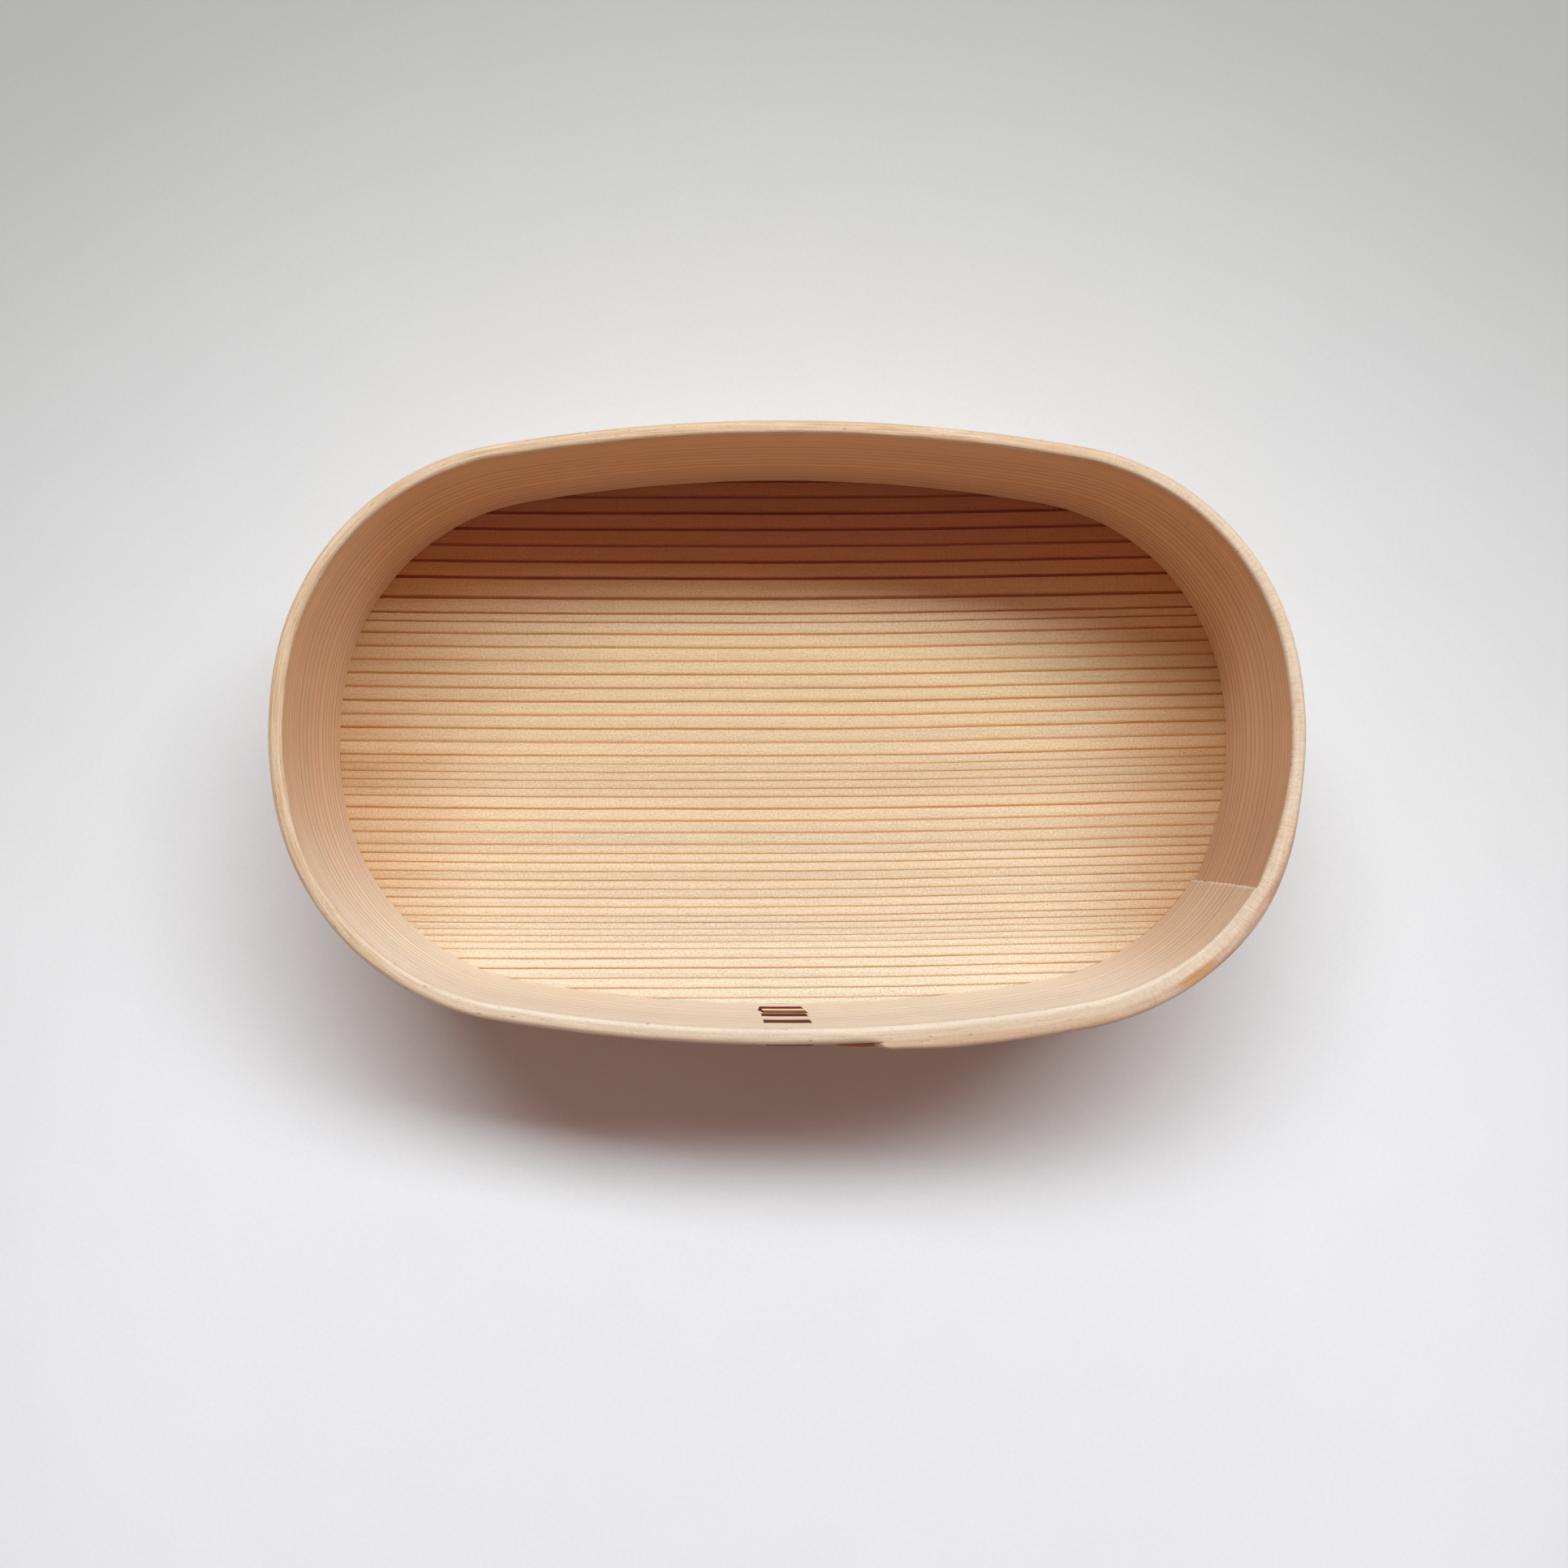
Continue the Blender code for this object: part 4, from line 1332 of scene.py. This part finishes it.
    def ring_shares(self, tree: bpy.types.NodeTree, place: bpy.types.Node,
                    parts: bpy.types.Node, phase: bpy.types.Node) -> tuple[bpy.types.Node, ...]:
        """Take the ring lines off the rim, where one sees the strip's edge and not its face.

        Args:
            tree: The material's tree.
            place: The place in the wood in millimetres.
            parts: The same, split.
            phase: The ring number.

        Returns:
            The nodes with the late-wood share, the shade's share and the ring's own tone.
        """
        late, soft, tone = super().ring_shares(tree, place, parts, phase)
        keep = weighted(tree, 1.0, (self.rim_share(tree, parts), -self.ring_loss_rim))
        fade = add_node(tree, RANGE, span(self.ring_fade), {0: parts.outputs[1]})
        uncut = weighted(tree, 1.0, (self.pared_share(tree, parts), -self.ring_loss_pared))
        return product(tree, late, keep, fade, uncut), product(tree, soft, keep), tone

    def local_colour(self, tree: bpy.types.NodeTree, place: bpy.types.Node,
                     parts: bpy.types.Node, late: bpy.types.Node,
                     colour: bpy.types.NodeSocket) -> bpy.types.NodeSocket:
        """Colour the zones of the wall, and then the rim.

        Args:
            tree: The material's tree.
            place: The place in the wood in millimetres; not used here.
            parts: The same, split.
            late: The late-wood share; not used here.
            colour: The plain wood's colour.

        Returns:
            The colour.
        """
        where = self.rim_place(tree)
        _, frontward, out = add_node(tree, SPLIT, links={0: where}).outputs
        past_end = weighted(tree, -self.inner_end_mm, (parts, 1.0))
        past_again = weighted(tree, -self.once_round_mm, (past_end, 1.0))
        # painted light: the front wall's inside is made paler where the lamp lights it; the spans
        # bound it along the strip and keep it to the inside face
        front = [add_node(tree, RANGE, span(self.lit_front_left), {0: parts}, **SMOOTH),
                 add_node(tree, RANGE, span(self.lit_front_right), {0: parts}, **SMOOTH),
                 add_node(tree, RANGE, span(self.lit_front_depth), {0: out})]
        colour = tint(tree, colour, self.front, *front)
        # the back tint is painted shade on the back wall's inside; the other tints are the strip's own
        # colours
        for source, values, rise, code in (
                (frontward, self.back_shade_span, SMOOTH, self.back),
                (out, self.outside_span, {}, self.outside),
                (past_again, self.lap_dark_span, SMOOTH, self.lap_dark),
                (past_end, self.lap_pale_span, SMOOTH, self.lap_pale),
                (past_end, self.torn_span, {}, self.torn)):
            share = add_node(tree, RANGE, span(values), {0: source}, **rise)
            colour = tint(tree, colour, code, share)
        colour = tint(tree, colour, self.pared, self.pared_share(tree, parts))
        rim = self.rim_share(tree, parts)
        near = add_node(tree, RANGE, span(self.near_span), {0: frontward}, **SMOOTH)
        colour = self.sanded(tree, colour, where, rim, near)
        return self.marked(tree, colour, where, rim, near)

    def sanded(self, tree: bpy.types.NodeTree, colour: bpy.types.NodeSocket,
               where: bpy.types.Node, rim: bpy.types.Node,
               near: bpy.types.Node) -> bpy.types.NodeSocket:
        """Pale the rim, lightest at the front, with streaks along it and short marks across; at the
        right, over the lap, the marks are painted white, partly sanding marks and partly a painted
        highlight on the rounded rim.

        Args:
            tree: The material's tree.
            colour: The wall's colour.
            where: The place on the rim.
            rim: The rim's share.
            near: The front's share.

        Returns:
            The colour.
        """
        right, _, out = add_node(tree, SPLIT, links={0: where}).outputs
        hatch, long = self.hatch.add(tree, where), self.rim_grain.add(tree, where)
        dull = add_node(tree, RANGE, span(self.dull_span), {0: hatch})
        colour = tint(tree, colour, self.rim_colour, rim, dull)
        inside = add_node(tree, RANGE, span(self.front_rim_span), {0: out})
        colour = tint(tree, colour, self.front_rim, near, inside, rim)
        far = weighted(tree, 1.0, (near, -self.streak_loss_near))
        calm = add_node(tree, RANGE, span(self.streak_calm), {0: right})
        for values, most, code in self.rim_streaks:
            streak = add_node(tree, RANGE, span((*values, 0.0, most)), {0: long})
            colour = tint(tree, colour, code, streak, calm, far, rim)
        # partly sanding marks, partly painted highlight: white hatch on the rim over the lap, where
        # its broad rounded inner edge catches the light
        white = add_node(tree, RANGE, span(self.highlight_hatch_span), {0: hatch})
        rightmost = add_node(tree, RANGE, span(self.highlight_right), {0: right}, **SMOOTH)
        return tint(tree, colour, self.streak, white, rim, rightmost)

    def marked(self, tree: bpy.types.NodeTree, colour: bpy.types.NodeSocket,
               where: bpy.types.Node, rim: bpy.types.Node,
               near: bpy.types.Node) -> bpy.types.NodeSocket:
        """Add the rim's amber spot, pink outer edge, a painted highlight along the front's inner edge,
        and brown flecks.

        Args:
            tree: The material's tree.
            colour: The sanded rim's colour.
            where: The place on the rim.
            rim: The rim's share.
            near: The front's share.

        Returns:
            The colour.
        """
        right, _, out = add_node(tree, SPLIT, links={0: where}).outputs
        spot = add_node(tree, VECTOR_MATH, {1: self.amber_place}, {0: where},
                        operation="SUBTRACT")
        spot = add_node(tree, VECTOR_MATH, {1: [1.0 / size for size in self.amber_size]},
                        {0: spot}, operation="MULTIPLY")
        spot = add_node(tree, VECTOR_MATH, links={0: spot}, operation="LENGTH")
        amber = add_node(tree, RANGE, span(self.amber_span), {0: spot.outputs["Value"]},
                         **SMOOTH)
        colour = tint(tree, colour, self.amber, amber, rim)
        outer = add_node(tree, RANGE, span(self.pink_offset), {0: out}, **SMOOTH)
        heart = add_node(tree, RANGE, span(self.pink_heart),
                         {0: self.heartwood.add(tree, where)})
        redder = add_node(tree, RANGE, span(self.pink_right), {0: right}, **SMOOTH)
        colour = tint(tree, colour, self.pink, rim, outer, heart, redder)
        # painted highlight: a pale band along the front rim's inner edge, where its rounding faces the
        # lamp
        worn = add_node(tree, RANGE, span(self.inner_edge_highlight_span), {0: out}, **SMOOTH)
        colour = tint(tree, colour, self.streak, worn, rim, near)
        fleck = add_node(tree, RANGE, span(self.fleck_span),
                         {0: self.flecks.add(tree, where)})
        return tint(tree, colour, self.fleck, fleck, rim)


@dataclass(frozen=True)
class BoardCedar(EdgeGrainCedar):
    """The bottom board's cedar: redder at the back and at both ends, paler at the front. The back's
    dark red is partly heartwood and partly painted shade for the back wall's shadow and its red bounce
    light. The front's paleness is partly paler wood and partly painted light. The ends' red is partly
    the wood and partly painted warm bounce light from the side walls.
    """

    across: Stops = ()
    light_and_heart_share: float = 0.8
    end_bounce_span: Span = (55.0, 92.0, 0.0, 0.6)
    end_patch_span: Span = (0.35, 0.65, 0.35)
    shadow_line_span: Span = (18.0, 34.0)
    end_red_and_bounce: str = "cf9656"
    shadow_line_darkening: str = "b47a50"
    ends: Streaks = Streaks((40.0, 9.0, 20.0), 81.0)

    def local_colour(self, tree: bpy.types.NodeTree, place: bpy.types.Node,
                     parts: bpy.types.Node, late: bpy.types.Node,
                     colour: bpy.types.NodeSocket) -> bpy.types.NodeSocket:
        """Colour the board from its front to its back, partly with painted light and shade, redden the
        ends, partly as painted bounce light, and darken the lines at the back as painted shade.

        Args:
            tree: The material's tree.
            place: The place in the wood in millimetres.
            parts: The same, split.
            late: The late-wood share.
            colour: The plain wood's colour.

        Returns:
            The colour.
        """
        # painted light and shade, partly the wood: the ramp darkens and reddens the back for the back
        # wall's shadow, its red bounce and the heartwood, lightens the board just before the shadow's
        # edge, and pales the front where more light falls
        start, end = self.across[0][0], self.across[-1][0]
        share = add_node(tree, RANGE, span((start, end)), {0: parts.outputs[1]})
        stops = [((at - start) / (end - start), code) for at, code in self.across]
        light_and_heart_zone = set_stops(add_node(tree, RAMP, links={0: share}), stops)
        colour = add_node(tree, MIX, {0: self.light_and_heart_share}, {MIX_A: colour, MIX_B: light_and_heart_zone},
                          data_type="RGBA").outputs[MIX_RESULT]
        # redder ends: partly the wood's own colour, partly painted warm bounce light and shade from
        # the side walls
        out = add_node(tree, MATH, links={0: parts}, operation="ABSOLUTE")
        out = add_node(tree, RANGE, span(self.end_bounce_span), {0: out}, **SMOOTH)
        patch = add_node(tree, RANGE, span(self.end_patch_span),
                         {0: self.ends.add(tree, place)})
        colour = tint(tree, colour, self.end_red_and_bounce, out, patch)
        # painted shade: the late-wood lines are darkened towards the back, in the back wall's shadow
        heart = add_node(tree, RANGE, span(self.shadow_line_span), {0: parts.outputs[1]}, **SMOOTH)
        return tint(tree, colour, self.shadow_line_darkening, heart, late, blend="MULTIPLY")


@dataclass(frozen=True)
class CherryBark:
    """Bark of mountain cherry, scraped thin and polished.

    The eye sees a dark red-brown strap with fine lines along it and paler short pores, nearly
    without gloss in the soft light. The lifted rung has bands painted along its foot: a pale
    painted highlight where its glossy face reflects the light, painted shade under it at the foot's
    edge, and a browner band above: each is a stretch up the tape in metres and a colour.
    """

    name: str = "polished_cherry_bark"
    dark: str = "300b04"
    red: str = "78220c"
    pore: str = "a5714a"
    lifted_light_bands: tuple[tuple[float, float, str], ...] = (
        (-0.00060, -0.00015, "8e4a36"), (-0.00015, 0.00085, "f8e2c0"),
        (0.00085, 0.00205, "96683c"))
    band_edge: float = 0.0001
    pore_span: Span = (0.66, 0.74, 0.0, 0.8)
    red_span: Span = (0.35, 0.68)
    lifted_span: Span = (0.90, 0.99)
    line_mm: tuple[float, float] = (9.0, 0.3)
    pore_mm: tuple[float, float] = (1.6, 0.22)
    line_relief_mm: float = 0.04
    pore_relief_mm: float = -0.03
    relief_strength: float = 0.6
    roughness: Span = (0.0, 1.0, 0.51, 0.69)
    specular: float = 0.06

    def build(self) -> bpy.types.Material:
        """Build the finish.

        Returns:
            The material.
        """
        material, tree, shader = new_material(self.name)
        face = add_node(tree, UV_MAP, uv_map=TAPE_FACE)
        noises = []
        for (along, up), detail, shift in ((self.line_mm, 3.0, (0.0, 0.0, 0.0)),
                                           (self.pore_mm, 1.0, (7.0, 3.0, 0.0))):
            scaled = add_node(tree, MAPPING, {"Scale": (MM_PER_M / along, MM_PER_M / up, 1.0),
                                              "Location": shift}, {0: face})
            noises.append(add_node(tree, NOISE, {"Scale": 1.0, "Detail": detail},
                                   {"Vector": scaled}))
        lines, pores = noises
        pores = add_node(tree, RANGE, span(self.pore_span), {0: pores})
        share = add_node(tree, RANGE, span(self.red_span), {0: lines})
        colour = tint(tree, self.dark, self.red, share)
        colour = tint(tree, colour, self.pore, pores)
        lifted = add_node(tree, SPLIT, links={0: add_node(tree, UV_MAP, uv_map=TAPE_LIFT)})
        flat = add_node(tree, RANGE, span(self.lifted_span), {0: lifted})
        up = add_node(tree, SPLIT, links={0: face}).outputs[1]
        # painted highlight and shade on the lifted rung: a pale band where its face reflects the
        # light, a dark band of painted shade at its foot's edge, a browner band above
        for low, high, code in self.lifted_light_bands:
            above = add_node(tree, RANGE, span((low - self.band_edge, low + self.band_edge)),
                             {0: up})
            below = add_node(tree, RANGE, span((high + self.band_edge, high - self.band_edge)),
                             {0: up})
            colour = tint(tree, colour, code, above, below, flat)
        relief = weighted(tree, 0.0, (lines, self.line_relief_mm), (pores, self.pore_relief_mm))
        bump = add_node(tree, BUMP, {"Distance": 1.0 / MM_PER_M,
                                     "Strength": self.relief_strength}, {"Height": relief})
        rough = add_node(tree, RANGE, span(self.roughness), {0: lines})
        set_shader(shader, {"Base Color": colour, "Normal": bump, "Roughness": rough,
                            "Specular IOR Level": self.specular})
        return material


@dataclass(frozen=True)
class MattPaper:
    """Matt white paper, rolled out: nearly plain, and a little greyer further from a point in front of
    the box, as painted shade.

    The eye sees a faint fibre and soft clouds in it. Far off it fades into the pale background,
    so that no horizon shows. Sizes are in metres.
    """

    name: str = "matt_white_paper"
    white: str = "f1f0f1"
    grey: str = "8a877e"
    backdrop: str = PALE
    centre: tuple[float, float, float] = (0.0, -0.16, 0.0)
    paper_shade_span: Span = (0.12, 0.46)
    fade_span: Span = (0.32, 0.52)
    fibre_tone: float = 0.07
    cloud_tone: float = 0.03
    wave_m: float = 0.05
    cloud_m: float = 0.014
    fibre_m: float = 0.0009
    wave_height_m: float = 0.0006
    relief_strength: float = 0.6
    roughness: float = 0.8
    specular: float = 0.2

    def build(self) -> bpy.types.Material:
        """Build the finish.

        Returns:
            The material.
        """
        material, tree, shader = new_material(self.name)
        place = add_node(tree, "ShaderNodeTexCoord").outputs["Object"]
        out = add_node(tree, VECTOR_MATH, {1: self.centre}, {0: place},
                       operation="DISTANCE").outputs["Value"]
        # painted shade: the paper greys with distance from a point in front of the box
        share = add_node(tree, RANGE, span(self.paper_shade_span), {0: out}, **SMOOTH)
        fibre, cloud, waves = (
            add_node(tree, NOISE, {"Scale": 1.0 / size, "Detail": detail}, {"Vector": place})
            for size, detail in ((self.fibre_m, 3.0), (self.cloud_m, 3.0), (self.wave_m, 1.0)))
        tone = weighted(tree, 1.0 - (self.fibre_tone + self.cloud_tone) / 2,
                        (fibre, self.fibre_tone), (cloud, self.cloud_tone))
        colour = add_node(tree, VECTOR_MATH, operation="SCALE", links={
            0: tint(tree, self.white, self.grey, share), "Scale": tone})
        bump = add_node(tree, BUMP, {"Distance": self.wave_height_m,
                                     "Strength": self.relief_strength}, {"Height": waves})
        set_shader(shader, {"Base Color": colour, "Normal": bump, "Roughness": self.roughness,
                            "Specular IOR Level": self.specular})
        fade = add_node(tree, RANGE, span(self.fade_span), {0: out}, **SMOOTH)
        plain = add_node(tree, "ShaderNodeEmission", {"Color": linear_colour(self.backdrop)})
        both = add_node(tree, "ShaderNodeMixShader", links={
            0: product(tree, fade, seen_directly(tree)), 1: shader, 2: plain})
        tree.links.new(both.outputs[0], tree.nodes["Material Output"].inputs["Surface"])
        return material


@dataclass(frozen=True)
class Studio:
    """The paper, the lamp behind the box, the dim warm room, and the camera straight above."""

    floor_size: float = 6.0
    lamp_place: tuple[float, float, float] = (0.21, 1.212, 1.865)
    lamp_target: tuple[float, float, float] = (0.0, 0.0, 0.03)
    lamp_size: tuple[float, float] = (3.00, 0.54)
    lamp_power: float = 69.6
    lamp_colour: tuple[float, float, float] = (0.851, 0.961, 1.0)
    room_colour: tuple[float, float, float] = (0.225, 0.140, 0.120)
    background: str = PALE
    camera_place: tuple[float, float, float] = (-0.00718, -0.01614, 0.36888)
    camera_turn_deg: tuple[float, float, float] = (1.246, -1.086, -0.048)
    focal_pixels: float = 2156.9
    sensor_mm: float = 36.0

    def build(self) -> None:
        """Build the studio."""
        scene = bpy.context.scene
        self.build_floor(scene)
        self.build_lamp(scene)
        self.build_room(scene)
        self.build_camera(scene)
        scene.view_settings.view_transform = "Standard"

    def build_floor(self, scene: bpy.types.Scene) -> None:
        """Lay the paper under the box."""
        half = self.floor_size / 2
        mesh = bpy.data.meshes.new("paper_floor")
        corners = [(-half, -half, 0.0), (half, -half, 0.0), (half, half, 0.0), (-half, half, 0.0)]
        mesh.from_pydata(corners, [], [(0, 1, 2, 3)])
        mesh.materials.append(MattPaper().build())
        floor = bpy.data.objects.new("paper_floor", mesh)
        scene.collection.objects.link(floor)

    def build_lamp(self, scene: bpy.types.Scene) -> None:
        """Hang the wide soft lamp behind the box, a little to the right."""
        lamp = bpy.data.lights.new("soft_lamp", "AREA")
        lamp.shape = "RECTANGLE"
        lamp.size, lamp.size_y = self.lamp_size
        lamp.energy = self.lamp_power
        lamp.color = self.lamp_colour
        holder = bpy.data.objects.new("soft_lamp", lamp)
        aim = Vector(self.lamp_target) - Vector(self.lamp_place)
        holder.location = self.lamp_place
        holder.rotation_euler = aim.to_track_quat("-Z", "Y").to_euler()
        scene.collection.objects.link(holder)

    def build_room(self, scene: bpy.types.Scene) -> None:
        """Light from all round dimly and warmly, while the camera sees the paper's white."""
        world = bpy.data.worlds.new("room")
        world.use_nodes = True
        tree = world.node_tree
        output = tree.nodes["World Output"]
        dim = tree.nodes["Background"]
        dim.inputs["Color"].default_value = (*self.room_colour, 1.0)
        seen = add_node(tree, "ShaderNodeBackground", {"Color": linear_colour(self.background)})
        both = add_node(tree, "ShaderNodeMixShader",
                        links={0: seen_directly(tree), 1: dim, 2: seen})
        tree.links.new(both.outputs[0], output.inputs["Surface"])
        scene.world = world

    def build_camera(self, scene: bpy.types.Scene) -> None:
        """Set the camera straight above the box, looking down."""
        lens = bpy.data.cameras.new("camera")
        lens.sensor_width = self.sensor_mm
        lens.lens = self.focal_pixels / PICTURE_SIDE * self.sensor_mm
        holder = bpy.data.objects.new("camera", lens)
        holder.location = self.camera_place
        holder.rotation_euler = [math.radians(angle) for angle in self.camera_turn_deg]
        scene.collection.objects.link(holder)
        scene.camera = holder


STRIP = StripCedar(
    name="bent_cedar_strip", early="e4b17c", shade="f1dfcf", line="8e6248", warm="dca36e",
    rings=((0.0, 0.0), (3.0, 1.7), (5.5, 2.6), (9.0, 4.8), (12.0, 5.9), (15.0, 7.3),
           (19.0, 9.0), (22.5, 9.9), (27.0, 11.6), (31.0, 12.7), (35.0, 14.3), (38.0, 15.3),
           (41.5, 17.3), (45.0, 19.2), (47.5, 20.4), (50.0, 22.0)),
    late_stops=((0.0, 0.5), (0.02, 0.0), (0.73, 0.0), (0.86, 0.45), (0.92, 1.0), (0.985, 1.0),
                (1.0, 0.5)),
    tilt=0.22, jitter_mm=0.10, line_strength=(0.50, 1.0), fuzz_tone=0.28, blotch_tone=0.15,
    fibre_tone=0.25, specular=0.5, sheen=0.5, sheen_roughness=0.35)
BOARD = BoardCedar(
    name="planed_cedar_board", early="d8b996", shade="f1dcc4", line="cf9430", warm="d2a874",
    late_stops=((0.0, 0.7), (0.02, 0.0), (0.76, 0.0), (0.84, 0.45), (0.885, 1.0),
                (0.99, 1.0), (1.0, 0.7)),
    rings=((-56.0, 47.7), (-52.52, 46.0), (-42.3, 41.0), (-35.55, 36.0), (-20.83, 28.0),
           (-10.87, 24.0), (-2.39, 19.0), (22.98, 10.0), (25.48, 9.0), (27.18, 8.0),
           (30.29, 7.0), (34.5, 6.0), (54.86, 0.0), (58.0, -1.0)),
    bow=((-95.0, 0.45), (-84.5, 0.34), (-69.5, 0.20), (-54.3, 0.08), (-41.7, 0.03),
         (-29.1, 0.0), (-3.8, 0.02), (8.8, 0.10), (21.5, 0.25), (34.2, 0.47), (47.0, 0.75),
         (59.7, 1.01), (72.4, 1.33), (85.2, 1.58), (95.0, 1.8)),
    # across: partly the wood, partly painted light and shade: dark red to the back for the back wall's
    # shadow and heartwood, lightest at 27 mm just before the shadow's edge, paler to the front where
    # more light falls
    across=((-55.0, "e4daca"), (-38.0, "e1d1b8"), (-15.0, "e1c7a6"), (10.0, "e0c49e"),
            (19.0, "e5c99f"), (27.0, "fbdfb8"), (33.0, "e7b586"), (38.0, "d69566"),
            (45.0, "bc7350"), (55.0, "a56040")),
    fuzz_tone=0.85, blotch_tone=0.14, fibre_tone=0.20, grain_map=BOARD_FACE)


def main() -> None:
    """Build the looks, piece by piece, and the studio round them."""
    logging.basicConfig(level=logging.INFO, format="%(message)s")
    lap = Lap(Oval())
    tape = BarkTape(lap)
    BentBand(lap).build(tape.cutters(), STRIP.build())
    BottomBoard(lap).build(BOARD.build())
    tape.build(CherryBark().build())
    Studio().build()
    bpy.context.view_layer.update()


if __name__ == "__main__":
    main()
